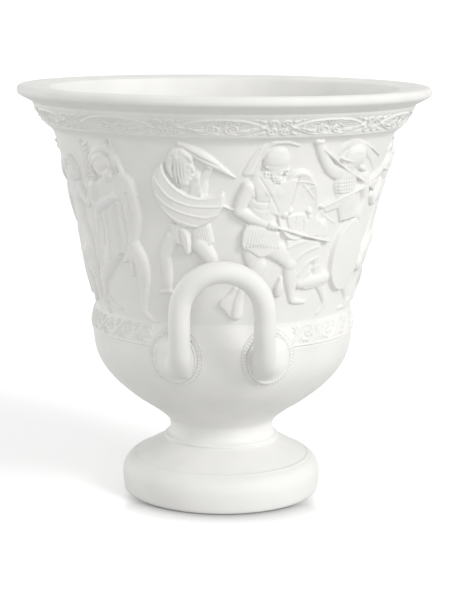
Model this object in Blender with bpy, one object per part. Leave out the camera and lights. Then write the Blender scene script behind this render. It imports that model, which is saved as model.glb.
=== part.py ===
"""Krater of white unglazed porcelain: flared bowl with a carved frieze, footed, with two upturned handles.

Frame: metres, +Z up, standing on Z = 0 at the origin; one handle at -Y (front), the other at +Y.
"""

import math

import bmesh
import bpy
import numpy as np
from mathutils import Matrix

# Heights of the stacked zones, floor to rim
FOOT_HEIGHT = 0.058
STEM_HEIGHT = 0.014
BOWL_HEIGHT = 0.093
LOWER_BAND_HEIGHT = 0.0255
FRIEZE_HEIGHT = 0.1765
UPPER_BAND_HEIGHT = 0.019
RIM_HEIGHT = 0.020

# Outer radii
FOOT_RADIUS = 0.0995
STEM_RADIUS = 0.0515
BOWL_RADIUS = 0.1276
FRIEZE_FOOT_RADIUS = 0.126
FRIEZE_HEAD_RADIUS = 0.166
UPPER_BAND_RADIUS = 0.1852
LIP_RADIUS = 0.2012
MOUTH_RADIUS = 0.1688
FILLET = 0.0006
CORNER = 0.002

# Walls and standing ring
WALL = 0.008
FOOT_WALL = 0.009
FLOOR_THICKNESS = 0.012
STANDING_RING = 0.009

# Loop handles and the oval plates that carry them
TUBE_DIAMETER = 0.020
HANDLE_SPREAD = 0.0765
HANDLE_RISE = 0.096
HANDLE_REACH = 0.050
ARCH_LEAN = 0.25
PLATE_SPREAD = 0.0857
PLATE_DROP = 0.011
PLATE_WIDTH = 0.058
PLATE_HEIGHT = 0.052
PLATE_THICKNESS = 0.003

# Facets
COLUMNS = 48
INNER_COLUMNS = 24
CARVING_COLUMNS = 384
CARVING_ROWS = 76
PLATE_COLUMNS = 20
TUBE_COLUMNS = 12
BODY_TRIANGLES = 7900

# The figures are drawn on a strip in mm whose height stands for the frieze's own
DRAWN_FOOT = 190.5
DRAWN_HEIGHT = 176.5
JOIN = 1.5
EDGE = 2.0


class Figure:
    """Height of one carved figure over the wall; x runs round from its own axis, z is up, all in mm."""

    def __init__(self, x, z):
        self.x = x
        self.z = z
        self.h = np.zeros_like(x)

    def along(self, start, end):
        """Distance of every point from a straight bar, and how far along it the nearest place is."""
        dx = end[0] - start[0]
        dz = end[1] - start[1]
        t = ((self.x - start[0]) * dx + (self.z - start[1]) * dz) / (dx * dx + dz * dz)
        t = np.clip(t, 0.0, 1.0)
        return np.hypot(self.x - start[0] - t * dx, self.z - start[1] - t * dz), t

    def raise_to(self, height):
        """Keep the higher of what stands there and the new height, with a soft join in the corner."""
        gap = np.clip(1.0 - np.abs(self.h - height) / JOIN, 0.0, 1.0)
        blend = np.where(height > 0.0, JOIN * gap * gap / 4, 0.0)
        self.h = np.maximum(self.h, height) + blend

    def limb(self, points, widths, lift=0.0, flat=0.75):
        """Rounded bar through the points, its width changing evenly; lift sets how far it stands off."""
        for start, end, first, last in zip(points, points[1:], widths, widths[1:]):
            away, t = self.along(start, end)
            half = (first + (last - first) * t) / 2
            inside = np.clip(half - away, 0.0, None)
            dome = np.sqrt(np.clip(half * half - away * away, 0.0, None))
            self.raise_to(flat * dome + lift * np.minimum(inside / EDGE, 1.0))

    def ball(self, centre, half_x, half_z, height):
        """Rounded mass with the given half width and half height."""
        u = (self.x - centre[0]) / half_x
        v = (self.z - centre[1]) / half_z
        self.raise_to(height * np.clip(1.0 - u * u - v * v, 0.0, None) ** 0.4)

    def depth_inside(self, corners):
        """Distance in from the nearest side of a closed outline, nought outside it."""
        near = np.full_like(self.x, 1e3)
        odd = np.zeros(self.x.shape, bool)
        for start, end in zip(corners, corners[1:] + corners[:1]):
            near = np.minimum(near, self.along(start, end)[0])
            if start[1] != end[1]:
                crossing = (self.z < start[1]) != (self.z < end[1])
                slant = start[0] + (self.z - start[1]) * (end[0] - start[0]) / (end[1] - start[1])
                odd ^= crossing & (self.x < slant)
        return np.where(odd, near, 0.0)

    def sheet(self, corners, height, edge):
        """Flat mass inside an outline, rounded over within the edge width."""
        t = np.clip(self.depth_inside(corners) / edge, 0.0, 1.0)
        self.raise_to(height * np.sqrt(1.0 - (1.0 - t) ** 2))

    def skirt(self, corners, folds, height, depth):
        """Pleated cloth between four corners, upper pair first, swelling in the middle."""
        (ax, az), (bx, bz), (cx, cz), (dx, dz) = corners
        s = np.full_like(self.x, 0.5)
        for _ in range(3):
            top = az + (bz - az) * s
            low = dz + (cz - dz) * s
            t = (top - self.z) / (top - low)
            left = ax + (dx - ax) * t
            right = bx + (cx - bx) * t
            s = (self.x - left) / (right - left)
            s = np.clip(s, -0.5, 1.5)
        inside = (s > 0.0) & (s < 1.0) & (t > 0.0) & (t < 1.0)
        swell = np.sqrt(np.clip(1.0 - (2.0 * s - 1.0) ** 4, 0.0, 1.0))
        pleat = depth * np.abs(np.sin(np.pi * folds * s)) * np.clip(t * 3.0, 0.0, 1.0)
        self.raise_to(np.where(inside, (height - depth) * swell + pleat, 0.0))

    def boss(self, centre, half_x, half_z, middle, rim):
        """Shield seen from outside: a shallow dome inside a flat rim band."""
        rho = np.hypot((self.x - centre[0]) / half_x, (self.z - centre[1]) / half_z)
        dome = rim + middle * np.clip(1.0 - (rho / 0.86) ** 2, 0.0, 1.0)
        self.raise_to(np.where(rho < 1.0, np.minimum(dome, (1.0 - rho) * half_x * 3.0), 0.0))

    def dish(self, centre, half_x, half_z, middle, rim):
        """Shield seen from inside: a raised rim round a hollow."""
        rho = np.hypot((self.x - centre[0]) / half_x, (self.z - centre[1]) / half_z)
        hollow = middle + (rim - middle) * np.clip(rho / 0.9, 0.0, 1.0) ** 4
        self.raise_to(np.where(rho < 1.0, np.minimum(hollow, (1.0 - rho) * half_x * 3.0), 0.0))


def shield_bearer(f):
    """Long-haired fighter behind a crescent shield, the far arm raised with a bundle of shafts."""
    f.limb([(12, 264.5), (19, 257), (22, 251.5)], [17, 14, 12], 0.5)
    f.limb([(21.5, 251.5), (9, 232), (-2, 217)], [11, 11, 6], 0.3)
    f.limb([(-2, 216), (-9, 209.5)], [6, 4], 0.3)
    f.limb([(-12, 280.5), (-20.5, 265), (-19, 249.5), (-19.5, 230.5)], [17, 11.5, 12, 6.5], 0.8)
    f.limb([(-18.5, 225.5), (-30, 221.5)], [6, 4], 0.8)
    f.skirt([(-19, 289.5), (22, 292), (26, 272.5), (-17, 272.5)], 7, 4.2, 0.9)
    f.sheet([(-8, 286.5), (2.5, 286), (5.5, 263.5), (1, 259.5), (-3.5, 262)], 5.6, 1.6)
    f.limb([(8, 324), (5, 300)], [26, 24], 0.0, 0.3)
    f.skirt([(1, 331), (15, 337), (16, 315), (0.5, 317.5)], 4, 4.4, 0.8)
    f.limb([(15, 326), (22, 342)], [9, 8], 1.0)
    f.limb([(21.5, 342), (22.5, 344.5)], [9, 8], 2.0)
    f.limb([(-1.5, 363), (8.5, 358), (22, 348), (33.5, 340), (46, 331)], [5, 10, 12, 8, 2], 0.8)
    f.limb([(-1, 327.5), (2, 333)], [12, 11], 1.4)
    f.ball((2, 343), 9.5, 12, 5.6)
    f.ball((7, 339.5), 4.2, 7.5, 5.4)
    f.limb([(6.5, 333), (4, 330.5)], [5.5, 6], 3.2)
    f.limb([(8.5, 349), (0.5, 355), (-8.5, 350), (-11, 340), (-10.5, 330.5)], [7, 9, 9, 7, 4], 2.6)
    f.limb([(-0.5, 345), (-2.5, 334), (-1, 325.5)], [5, 5, 3], 3.8)
    f.sheet([(-19, 345), (-14.5, 332.5), (-7.5, 323.5), (1.5, 318), (12.5, 316), (25, 317), (35.5, 319),
             (35, 308), (28.5, 295), (18.5, 287.5), (7.5, 285), (-5, 288.5), (-16.5, 298),
                        (-25.5, 307.5),
             (-30.5, 323), (-29.5, 331.5), (-26, 338)], 6.8, 2.4)


def swordsman(f):
    """Crested fighter thrusting low with a long blade, the round shield out on the far arm."""
    f.dish((29, 307.5), 24, 29, 2.0, 4.6)
    f.limb([(-13, 268.5), (-7.5, 253.5), (-10.5, 241)], [17, 15, 12], 0.4)
    f.limb([(-10.5, 243), (-18.5, 226.5), (-26.5, 215)], [13, 14, 8], 0.6)
    f.limb([(-28.5, 215), (-22, 201.5)], [9, 7], 0.8)
    f.limb([(1, 274), (16, 262), (26, 248)], [20, 17, 13], 2.0)
    f.limb([(26, 248), (28.5, 234), (34.5, 215)], [12.5, 12, 7.5], 1.6)
    f.limb([(33.5, 213.5), (47, 212)], [7, 4.5], 1.4)
    f.limb([(1, 320.5), (-3, 304), (-3.5, 287)], [36, 28, 26], 1.2, 0.28)
    f.ball((-6, 318), 11.5, 9, 6.8)
    f.ball((9.5, 317.5), 9.5, 9, 6.4)
    f.ball((-4, 301), 12, 11, 5.6)
    f.limb([(17, 322), (22, 308.5), (20, 298.5)], [12, 10, 8], 1.4)
    f.ball((14, 298), 5, 4.5, 6.2)
    f.skirt([(-20.5, 280), (15.5, 281), (7.5, 259.5), (-23, 266)], 4, 4.4, 0.5)
    f.skirt([(-18.5, 290.5), (14, 284.5), (13, 273.5), (-21.5, 271.5)], 6, 6.2, 0.9)
    f.limb([(2.5, 326), (-1, 320.5)], [14, 16], 1.6)
    f.limb([(-19, 323.5), (-25, 309), (-24.5, 299.5)], [15, 13.5, 12], 3.0)
    f.limb([(-24.5, 300.5), (-9.5, 294), (2.5, 288)], [11.5, 10, 7.5], 3.4)
    f.limb([(-40.5, 305), (5.5, 288), (65.5, 269.5)], [2.2, 2.6, 2.0], 2.6)
    f.ball((5.5, 287), 5.5, 5, 8.0)
    f.limb([(22.5, 361.5), (10, 364.5), (-1.5, 362), (-9.5, 355.5), (-16, 346.5),
            (-27, 334)], [2, 5, 8, 10, 8, 2.5], 1.4, 0.5)
    f.ball((4, 336), 8.5, 10.5, 7.4)
    f.ball((5.5, 331.5), 6, 5.5, 8.0)
    f.ball((5, 347), 13.5, 12.5, 8.6)
    f.limb([(-7.5, 342), (4.5, 340), (17.5, 340.5)], [3, 3.4, 3], 6.6)


def fallen_fighter(f):
    """Man down on one knee between two fighters, his cloak bunched over him."""
    f.sheet([(-30.5, 270.5), (-13.5, 273), (11.5, 270.5), (20, 253), (11, 248), (-3, 236),
             (-16, 249.5)], 3.4, 2.2)
    f.limb([(20, 228.5), (32, 212.5)], [11, 8], 1.0)
    f.limb([(30.5, 207.5), (24, 198.5)], [7, 5], 0.8)
    f.limb([(-7.5, 229.5), (6.5, 233), (23.5, 237)], [12, 14, 12], 2.2)
    f.ball((11.5, 244.5), 8, 6.5, 6.4)
    f.limb([(-27, 231), (-26.5, 221.5)], [9, 10], 1.6)


def hoplite(f):
    """Helmeted fighter with one arm flung up and a large plain shield on the other."""
    f.limb([(11.5, 223.5), (30.5, 202.5)], [13, 8], 0.4)
    f.limb([(34, 197.5), (15, 198)], [7, 4], 0.4)
    f.limb([(38.5, 239), (66.5, 216.5), (64.5, 200)], [17, 14, 8], 0.2)
    f.limb([(64, 196), (64, 193)], [7, 4], 0.2)
    f.limb([(-24, 324), (-18.5, 308), (-11, 290.5)], [38, 32, 34], 1.0, 0.3)
    f.skirt([(-45.5, 305), (-8.5, 305.5), (0, 283.5), (-24.5, 284)], 4, 4.0, 0.9)
    f.limb([(-70.5, 362.5), (-62, 348.5), (-51.5, 336)], [9, 11, 12], 2.4)
    f.limb([(-51.5, 336), (-35, 330)], [13, 15], 2.6)
    f.ball((-71, 363.5), 6, 5, 7.0)
    f.sheet([(-38.5, 329.5), (-18.5, 328), (-11.5, 314.5), (-36.5, 315.5)], 5.6, 2.0)
    f.limb([(-39, 357.5), (-25.5, 362), (-2.5, 356), (23.5, 340.5)], [5, 8, 10, 5], 1.6)
    f.ball((-24, 338), 9, 9.5, 6.6)
    f.ball((-19, 346), 16, 13, 8.4)
    f.limb([(-62, 357.5), (-23, 336), (31, 312)], [1.8, 2.6, 1.8], 3.8)
    f.limb([(7, 327), (17, 306.5), (12.5, 290)], [14, 13, 12], 2.4)
    f.boss((-6.5, 250.5), 25, 33, 3.2, 3.6)


def cloaked_figure(f):
    """Heavily cloaked standing figure, one hand at the breast, the other hanging."""
    f.limb([(1.5, 263), (-18.5, 235), (-34, 214.5), (-35.5, 196.5)], [26, 18, 14, 9], 1.0)
    f.limb([(-37, 193), (-24.5, 192.5)], [8, 6], 1.0)
    f.limb([(-22, 214.5), (-13.5, 203), (-3.5, 200)], [7, 7, 4], 0.4)
    f.limb([(32, 266), (38.5, 244), (32, 222), (27, 206)], [20, 15, 14, 9], 1.0)
    f.limb([(26, 201), (33.5, 195), (41.5, 191)], [10, 8, 3.5], 0.6)
    f.sheet([(-12, 324), (6.5, 332.5), (29.5, 331.5), (39.5, 326.5), (39, 312), (31, 288.5),
             (19, 253.5),
             (6.5, 248), (-6.5, 242.5), (-27, 237.5), (-25.5, 263.5), (-19.5, 297)], 4.6, 3.0)
    f.ball((1.5, 320), 17, 14, 6.4)
    f.limb([(22.5, 269), (21.5, 248), (20, 237)], [9, 7, 4], 1.5)
    f.limb([(30, 268), (27.5, 248.5), (26.5, 235)], [8, 7, 3], 1.8)
    f.limb([(21.5, 364), (26.5, 348), (30.5, 331.5)], [3, 6, 7], 1.8)
    f.skirt([(29, 330.5), (40.5, 326.5), (42, 315.5), (27.5, 313.5)], 3, 5.6, 0.8)
    f.limb([(35.5, 319), (40, 300.5), (40.5, 293.5)], [13, 13, 12], 2.4)
    f.limb([(40.5, 293.5), (36, 280), (30, 268)], [12, 11, 8], 2.2)
    f.ball((28, 263), 6, 6, 5.2)
    f.limb([(-11, 318.5), (-13, 307), (-9.5, 298)], [15, 14, 13], 2.4)
    f.limb([(-9.5, 298), (7, 305.5), (15.5, 310)], [13, 12, 10], 3.4)
    f.ball((17, 310), 6.5, 5.5, 8.0)
    f.limb([(-7, 345.5), (9.5, 355), (20, 353), (24, 343)], [5, 8, 8, 4], 1.8)
    f.ball((3.5, 339.5), 15, 14, 8.0)


def youth(f):
    """Slim standing man, cloth round his hips, holding a leafy branch upright."""
    f.limb([(-2, 252), (-6, 232), (-8, 207)], [18, 14, 8], 0.6)
    f.limb([(-8, 203), (-17, 199)], [7, 4], 0.6)
    f.limb([(8, 252), (12, 230), (9, 207)], [18, 13, 8], 1.2)
    f.limb([(9, 203), (18, 199)], [7, 4], 1.0)
    f.sheet([(-14, 276), (15, 279), (20, 242), (14, 222), (3, 230), (-12, 234)], 4.6, 3.0)
    f.limb([(3, 312), (0, 290), (0, 272)], [32, 25, 25], 1.2, 0.3)
    f.ball((-4, 306), 9.5, 8.5, 6.2)
    f.ball((9, 306), 9, 8.5, 6.2)
    f.ball((2, 288), 10, 11, 5.4)
    f.limb([(-13, 312), (-21, 296), (-15, 279)], [12, 10, 7.5], 1.2)
    f.limb([(17, 312), (29, 300), (36, 313)], [12, 10, 7.5], 2.0)
    f.ball((36, 315), 5, 4.5, 6.6)
    f.limb([(28, 266), (36, 314), (45, 352)], [2.4, 3.0, 2.0], 2.4)
    for k in range(5):
        reach = 7.6 * k
        f.limb([(37.5 + 0.22 * reach, 321 + reach), (33 + 0.22 * reach, 326 + reach)], [3.4, 1.6], 1.4)
        f.limb([(38 + 0.22 * reach, 322 + reach), (43.5 + 0.22 * reach, 324 + reach)], [3.4, 1.6], 1.4)
    f.limb([(9, 316), (9, 321)], [12, 11], 1.6)
    f.ball((10, 328), 9.5, 11.5, 7.6)
    f.limb([(17, 333), (9, 340), (0, 334), (2, 322)], [7, 9, 9, 7], 3.2)
    f.ball((16, 326), 4.5, 6.5, 6.8)


def spearman(f):
    """Crested fighter striding with a long spear levelled over his shoulder."""
    f.limb([(8, 262), (17, 240), (26, 223), (33, 207)], [18, 14, 12, 7], 0.4)
    f.limb([(33, 203), (26, 200)], [7, 4], 0.4)
    f.limb([(-6, 262), (-20, 246), (-18, 226), (-21, 208)], [19, 14, 12, 7.5], 1.4)
    f.limb([(-21, 204), (-32, 200)], [7, 4], 1.2)
    f.limb([(2, 312), (1, 292), (0, 272)], [32, 27, 26], 1.2, 0.3)
    f.ball((-6, 306), 10, 9, 6.4)
    f.ball((9, 306), 10, 9, 6.4)
    f.skirt([(-13, 279), (14, 279), (20, 251), (-19, 251)], 6, 5.6, 0.9)
    f.limb([(-13, 311), (-24, 300), (-33, 306)], [12, 10, 8], 1.4)
    f.limb([(2, 316), (0, 322)], [12, 12], 1.6)
    f.ball((-3, 328), 9.5, 11, 7.4)
    f.limb([(-13, 347), (-2, 351), (11, 345), (19, 331), (21, 320)], [3, 7, 9, 8, 3], 1.4, 0.5)
    f.ball((-1, 335), 12.5, 11, 8.4)
    f.limb([(-13, 330), (-1, 328), (10, 330)], [3, 3.4, 3], 6.2)
    f.limb([(14, 313), (27, 322), (14, 336)], [13, 11, 8], 2.2)
    f.limb([(30, 351), (-20, 333), (-95, 309)], [2.4, 3.0, 1.8], 4.2)
    f.ball((12, 344), 5.5, 5, 8.4)


# The cast of the frieze: azimuth in degrees, facing (-1 is mirrored) and figure
CAST = (
    (-67, 1, youth),
    (-46, 1, cloaked_figure),
    (-13, 1, shield_bearer),
    (15, 1, swordsman),
    (34, 1, fallen_fighter),
    (54, 1, hoplite),
    (80, 1, spearman),
    (103, -1, youth),
    (126, -1, hoplite),
    (146, -1, fallen_fighter),
    (165, -1, swordsman),
    (193, -1, shield_bearer),
    (226, -1, cloaked_figure),
    (258, 1, spearman),
)
REACH = 47.0


def mix(low, high, share):
    """Value a share of the way from low to high."""
    return low + (high - low) * share


def zone(base, height, inner, outer, shape):
    """Profile points of one zone from shares of its radius range and of its height."""
    return [(mix(inner, outer, across), base + height * up) for across, up in shape]


STEM_BASE = FOOT_HEIGHT
BOWL_BASE = STEM_BASE + STEM_HEIGHT
LOWER_BAND_BASE = BOWL_BASE + BOWL_HEIGHT
FRIEZE_BASE = LOWER_BAND_BASE + LOWER_BAND_HEIGHT
UPPER_BAND_BASE = FRIEZE_BASE + FRIEZE_HEIGHT
RIM_BASE = UPPER_BAND_BASE + UPPER_BAND_HEIGHT
RIM_TOP = RIM_BASE + RIM_HEIGHT
HOLLOW_TOP = BOWL_BASE - 0.0005
BOWL_FLOOR = BOWL_BASE + FLOOR_THICKNESS
PLATE_CENTRE_Z = LOWER_BAND_BASE - PLATE_DROP
PLATE_ANGLE = 0.5 * PLATE_SPREAD / BOWL_RADIUS


def foot_profile():
    """Foot from the floor up: rounded edge, fine arris, slope to the stem."""
    shape = ((0.94, 0.0), (0.99, 0.04), (1.0, 0.15), (0.962, 0.41), (0.90, 0.52),
             (0.80, 0.62), (0.558, 0.724), (0.302, 0.828), (0.03, 1.0))
    return zone(0.0, FOOT_HEIGHT, STEM_RADIUS, FOOT_RADIUS, shape)


def bowl_profile():
    """Stem and rounded lower bowl up to the lower ornament band."""
    shape = ((0.017, 0.0), (0.148, 0.108), (0.417, 0.258), (0.67, 0.42), (0.875, 0.62),
             (0.975, 0.82), (1.0, 1.0))
    stem = [(STEM_RADIUS, STEM_BASE + 0.5 * STEM_HEIGHT)]
    return stem + zone(BOWL_BASE, BOWL_HEIGHT, STEM_RADIUS, BOWL_RADIUS, shape)


def lower_band_profile():
    """Half-round ornament band between bowl and frieze."""
    swell = 0.075 * LOWER_BAND_HEIGHT
    shape = ((0.7, 0.08), (1.0, 0.28), (0.4, 0.53), (-1.1, 0.82))
    return [(BOWL_RADIUS + swell * out, LOWER_BAND_BASE + LOWER_BAND_HEIGHT * up) for out, up in shape]


def upper_band_profile():
    """Outward-leaning ornament band under the rim, with the small fillet above it."""
    shape = ((0.427, 0.105), (0.65, 0.52), (1.0, 1.0))
    band = zone(UPPER_BAND_BASE, UPPER_BAND_HEIGHT, FRIEZE_HEAD_RADIUS, UPPER_BAND_RADIUS, shape)
    return band + [(UPPER_BAND_RADIUS + FILLET, RIM_BASE + 0.17 * RIM_HEIGHT)]


def rim_profile():
    """Heavy rounded lip, nearly flat on top, in to the mouth."""
    shape = ((0.206, 0.2), (0.49, 0.275), (0.85, 0.44), (1.0, 0.72), (0.86, 0.92), (0.6, 1.0))
    lip = zone(RIM_BASE, RIM_HEIGHT, UPPER_BAND_RADIUS, LIP_RADIUS, shape)
    return lip + [(MOUTH_RADIUS, RIM_TOP)]


def wall_radius(z):
    """Outer radius of the plain frieze ground at a height or an array of heights."""
    up = (0.0, 0.0085, 0.122, 0.235, 0.348, 0.462, 0.575, 0.688, 0.802, 0.915, 0.96, 1.0)
    across = (0.0, 0.0, 0.115, 0.23, 0.34, 0.445, 0.55, 0.66, 0.785, 0.945, 0.99, 1.13)
    share = np.interp((z - FRIEZE_BASE) / FRIEZE_HEIGHT, up, across)
    return mix(FRIEZE_FOOT_RADIUS, FRIEZE_HEAD_RADIUS, share)


def inset(points, distance):
    """Points moved square to the profile, towards the clay's other face."""
    path = np.array(points)
    run = np.gradient(path, axis=0)
    run /= np.linalg.norm(run, axis=1)[:, None]
    return [(r - distance * dz, z + distance * dr) for (r, z), (dr, dz) in zip(path, run)]


def inner_profile():
    """Inside of the bowl from the mouth down to the floor."""
    heights = [mix(FRIEZE_BASE, UPPER_BAND_BASE, share) for share in (0.9, 0.6, 0.3, 0.03)]
    wall = [(float(wall_radius(z)) - WALL, z) for z in heights]
    bowl = [p for p in reversed(inset(bowl_profile()[1:], WALL)) if p[1] > BOWL_FLOOR + CORNER]
    neck = [(mix(wall[0][0], MOUTH_RADIUS, 0.75), RIM_BASE)]
    last_r, last_z = bowl[-1]
    floor = [(last_r - 2.0 * CORNER - 0.5 * (last_z - BOWL_FLOOR), BOWL_FLOOR)]
    return neck + wall + bowl + floor


def hollow_profile():
    """Underside of the foot, from the middle of its ceiling out to the standing ring."""
    outside = foot_profile()[4:] + bowl_profile()[:1]
    under = [p for p in inset(outside, FOOT_WALL) if p[1] < HOLLOW_TOP - CORNER]
    ring = [(foot_profile()[0][0] - STANDING_RING, 0.0)]
    top = [(0.7 * STEM_RADIUS, HOLLOW_TOP)]
    return top + list(reversed(under)) + ring


def ring_points(radius, z, columns):
    """One level ring of points; column 0 faces the front."""
    angle = 2.0 * np.pi * np.arange(columns) / columns
    return np.stack([radius * np.sin(angle), -radius * np.cos(angle), np.full(columns, z)], axis=1)


def carved_height(angle, z):
    """Height of the frieze's carving in metres at each angle and height."""
    scale = FRIEZE_HEIGHT / DRAWN_HEIGHT
    level = DRAWN_FOOT + (z - FRIEZE_BASE) / scale
    radius = wall_radius(z) / scale
    height = np.zeros_like(level)
    for azimuth, side, carve in CAST:
        turn = (angle - math.radians(azimuth) + np.pi) % (2.0 * np.pi) - np.pi
        near = np.abs(turn[0]) < math.radians(REACH)
        figure = Figure(side * turn[:, near] * radius[:, near], level[:, near])
        carve(figure)
        height[:, near] = np.maximum(height[:, near], figure.h)
    above_foot = np.clip((level - DRAWN_FOOT) / EDGE, 0.0, 1.0)
    below_head = np.clip((DRAWN_FOOT + DRAWN_HEIGHT - level) / EDGE, 0.0, 1.0)
    return height * above_foot * below_head * scale


def frieze_rows():
    """Rows of carved wall points from the lower ledge up to the upper one."""
    z = np.linspace(FRIEZE_BASE, UPPER_BAND_BASE, CARVING_ROWS)
    angle = 2.0 * np.pi * np.arange(CARVING_COLUMNS) / CARVING_COLUMNS
    angles, heights = np.meshgrid(angle, z)
    out = carved_height(angles, heights)
    lean = math.atan2(FRIEZE_HEAD_RADIUS - FRIEZE_FOOT_RADIUS, FRIEZE_HEIGHT)
    radius = wall_radius(heights) + out * math.cos(lean)
    level = heights - out * math.sin(lean)
    return np.stack([radius * np.sin(angles), -radius * np.cos(angles), level], axis=2)


def join_rings(faces, lower, upper):
    """Faces between two rings of equal count, or a fan from each coarse step to several fine ones."""
    low = len(lower)
    high = len(upper)
    step = max(low, high) // min(low, high)
    for k in range(min(low, high)):
        if step == 1:
            n = (k + 1) % low
            faces.append((lower[k], lower[n], upper[n], upper[k]))
            continue
        coarse, fine = (lower, upper) if low < high else (upper, lower)
        turned = low > high
        corners = [fine[(k * step + i) % len(fine)] for i in range(step + 1)]
        half = step // 2
        near = coarse[k]
        far = coarse[(k + 1) % len(coarse)]
        parts = [(near, corners[i + 1], corners[i]) for i in range(half)]
        parts.append((near, far, corners[half]))
        parts += [(far, corners[i + 1], corners[i]) for i in range(half, step)]
        faces.extend([tuple(reversed(p)) if turned else p for p in parts])


def body_mesh():
    """Closed mesh of the vessel: hollow foot, outside, carved frieze, rim, inside, floor."""
    below = foot_profile() + bowl_profile() + lower_band_profile()
    above = upper_band_profile() + rim_profile()
    rings = [ring_points(r, z, INNER_COLUMNS) for r, z in hollow_profile()]
    rings += [ring_points(r, z, COLUMNS) for r, z in below]
    carved = list(frieze_rows())
    rings += carved
    rings += [ring_points(r, z, COLUMNS) for r, z in above]
    rings += [ring_points(r, z, INNER_COLUMNS) for r, z in inner_profile()]
    points = [np.array([[0.0, 0.0, HOLLOW_TOP]])] + rings + [np.array([[0.0, 0.0, BOWL_FLOOR]])]
    starts = np.cumsum([0] + [len(p) for p in points])
    index = [list(range(starts[i], starts[i + 1])) for i in range(len(points))]
    faces = []
    for lower, upper in zip(index[1:-2], index[2:-1]):
        join_rings(faces, lower, upper)
    first = index[1]
    last = index[-2]
    for k in range(INNER_COLUMNS):
        n = (k + 1) % INNER_COLUMNS
        faces.append((0, first[n], first[k]))
        faces.append((index[-1][0], last[k], last[n]))
    mesh = bpy.data.meshes.new("krater")
    mesh.from_pydata(np.concatenate(points).tolist(), [], faces)
    start = 1 + len(hollow_profile()) * INNER_COLUMNS + len(below) * COLUMNS
    return mesh, range(start, start + len(carved) * CARVING_COLUMNS)


def tidy(mesh):
    """Triangulate and turn every face outward."""
    work = bmesh.new()
    work.from_mesh(mesh)
    bmesh.ops.triangulate(work, faces=work.faces)
    bmesh.ops.recalc_face_normals(work, faces=work.faces)
    if work.calc_volume(signed=True) < 0:
        bmesh.ops.reverse_faces(work, faces=work.faces)
    work.to_mesh(mesh)
    work.free()
    return mesh


def closed_grid(name, rows, first, last):
    """Closed mesh from stacked rings of points with a single point at either end."""
    columns = len(rows[0])
    points = [first] + [p for row in rows for p in row] + [last]
    faces = []
    for k in range(columns):
        n = (k + 1) % columns
        faces.append((0, 1 + n, 1 + k))
        end = 1 + (len(rows) - 1) * columns
        faces.append((len(points) - 1, end + k, end + n))
        for row in range(len(rows) - 1):
            a = 1 + row * columns
            faces.append((a + k, a + n, a + columns + n, a + columns + k))
    mesh = bpy.data.meshes.new(name)
    mesh.from_pydata([tuple(p) for p in points], [], faces)
    return tidy(mesh)


def skin_radius(z):
    """Outer radius of bowl and lower band at a height."""
    path = bowl_profile() + lower_band_profile() + [(FRIEZE_FOOT_RADIUS, FRIEZE_BASE)]
    return float(np.interp(z, [p[1] for p in path], [p[0] for p in path]))


def plate_mesh(side):
    """Oval plate to the right (1) or left (-1) of the front, lying on the bowl, its back sunk in the wall."""
    shape = ((0.5, 0.9), (0.86, 0.9), (0.92, 1.15), (1.0, 0.75), (1.0, -1.0))

    def place(share, rise, turn):
        z = PLATE_CENTRE_Z + 0.5 * PLATE_HEIGHT * share * math.sin(turn)
        radius = skin_radius(z) + rise * PLATE_THICKNESS
        angle = side * PLATE_ANGLE + 0.5 * PLATE_WIDTH * share * math.cos(turn) / BOWL_RADIUS
        return (radius * math.sin(angle), -radius * math.cos(angle), z)

    turns = [2.0 * math.pi * k / PLATE_COLUMNS for k in range(PLATE_COLUMNS)]
    rows = [[place(share, rise, turn) for turn in turns] for share, rise in shape]
    return closed_grid("plate", rows, place(0.0, 0.9, 0.0), place(0.0, -1.0, 0.0))


def handle_path():
    """Centre line of the loop: out of one plate, up, over a half-round arch and down to the other."""
    half = 0.5 * HANDLE_SPREAD
    keys = []
    for out, up in ((-0.11, -0.04), (0.04, -0.035)):
        radius = BOWL_RADIUS + out * HANDLE_REACH
        x = radius * math.sin(PLATE_ANGLE)
        y = -radius * math.cos(PLATE_ANGLE)
        keys.append((x, y, PLATE_CENTRE_Z + up * HANDLE_RISE))
    for spread, out, up in ((1.09, 0.25, 0.03), (1.04, 0.49, 0.18), (1.01, 0.67, 0.39)):
        keys.append((half * spread, -(BOWL_RADIUS + out * HANDLE_REACH), PLATE_CENTRE_Z + up * HANDLE_RISE))
    top = PLATE_CENTRE_Z + HANDLE_RISE
    for turn in (90, 64, 38, 14):
        drop = half * (1.0 - math.cos(math.radians(turn)))
        across = half * math.sin(math.radians(turn))
        keys.append((across, -(BOWL_RADIUS + HANDLE_REACH - ARCH_LEAN * drop), top - drop))
    return keys + [(-x, y, z) for x, y, z in reversed(keys)]


def handle_mesh():
    """Round tube swept along the path, flared where it meets the plates."""
    flare = (1.45, 1.35, 1.08, 0.96, 0.94, 0.96, 1.0)
    path = np.array(handle_path())
    run = np.gradient(path, axis=0)
    run /= np.linalg.norm(run, axis=1)[:, None]
    count = len(path)
    side = np.cross(run[0], (0.0, 0.0, 1.0))
    turns = 2.0 * np.pi * np.arange(TUBE_COLUMNS) / TUBE_COLUMNS
    rows = []
    for k in range(count):
        side = side - np.dot(side, run[k]) * run[k]
        side /= np.linalg.norm(side)
        other = np.cross(run[k], side)
        end = min(k, count - 1 - k)
        radius = 0.5 * TUBE_DIAMETER * flare[min(end, len(flare) - 1)]
        rows.append([tuple(path[k] + radius * (math.cos(t) * side + math.sin(t) * other)) for t in turns])
    return closed_grid("handle", rows, tuple(path[0]), tuple(path[-1]))


def porcelain():
    """White unglazed biscuit porcelain."""
    material = bpy.data.materials.new("white_biscuit_porcelain")
    material.use_nodes = True
    shader = material.node_tree.nodes["Principled BSDF"]
    shader.inputs["Base Color"].default_value = (0.86, 0.86, 0.855, 1.0)
    shader.inputs["Roughness"].default_value = 0.6
    return material


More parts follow.
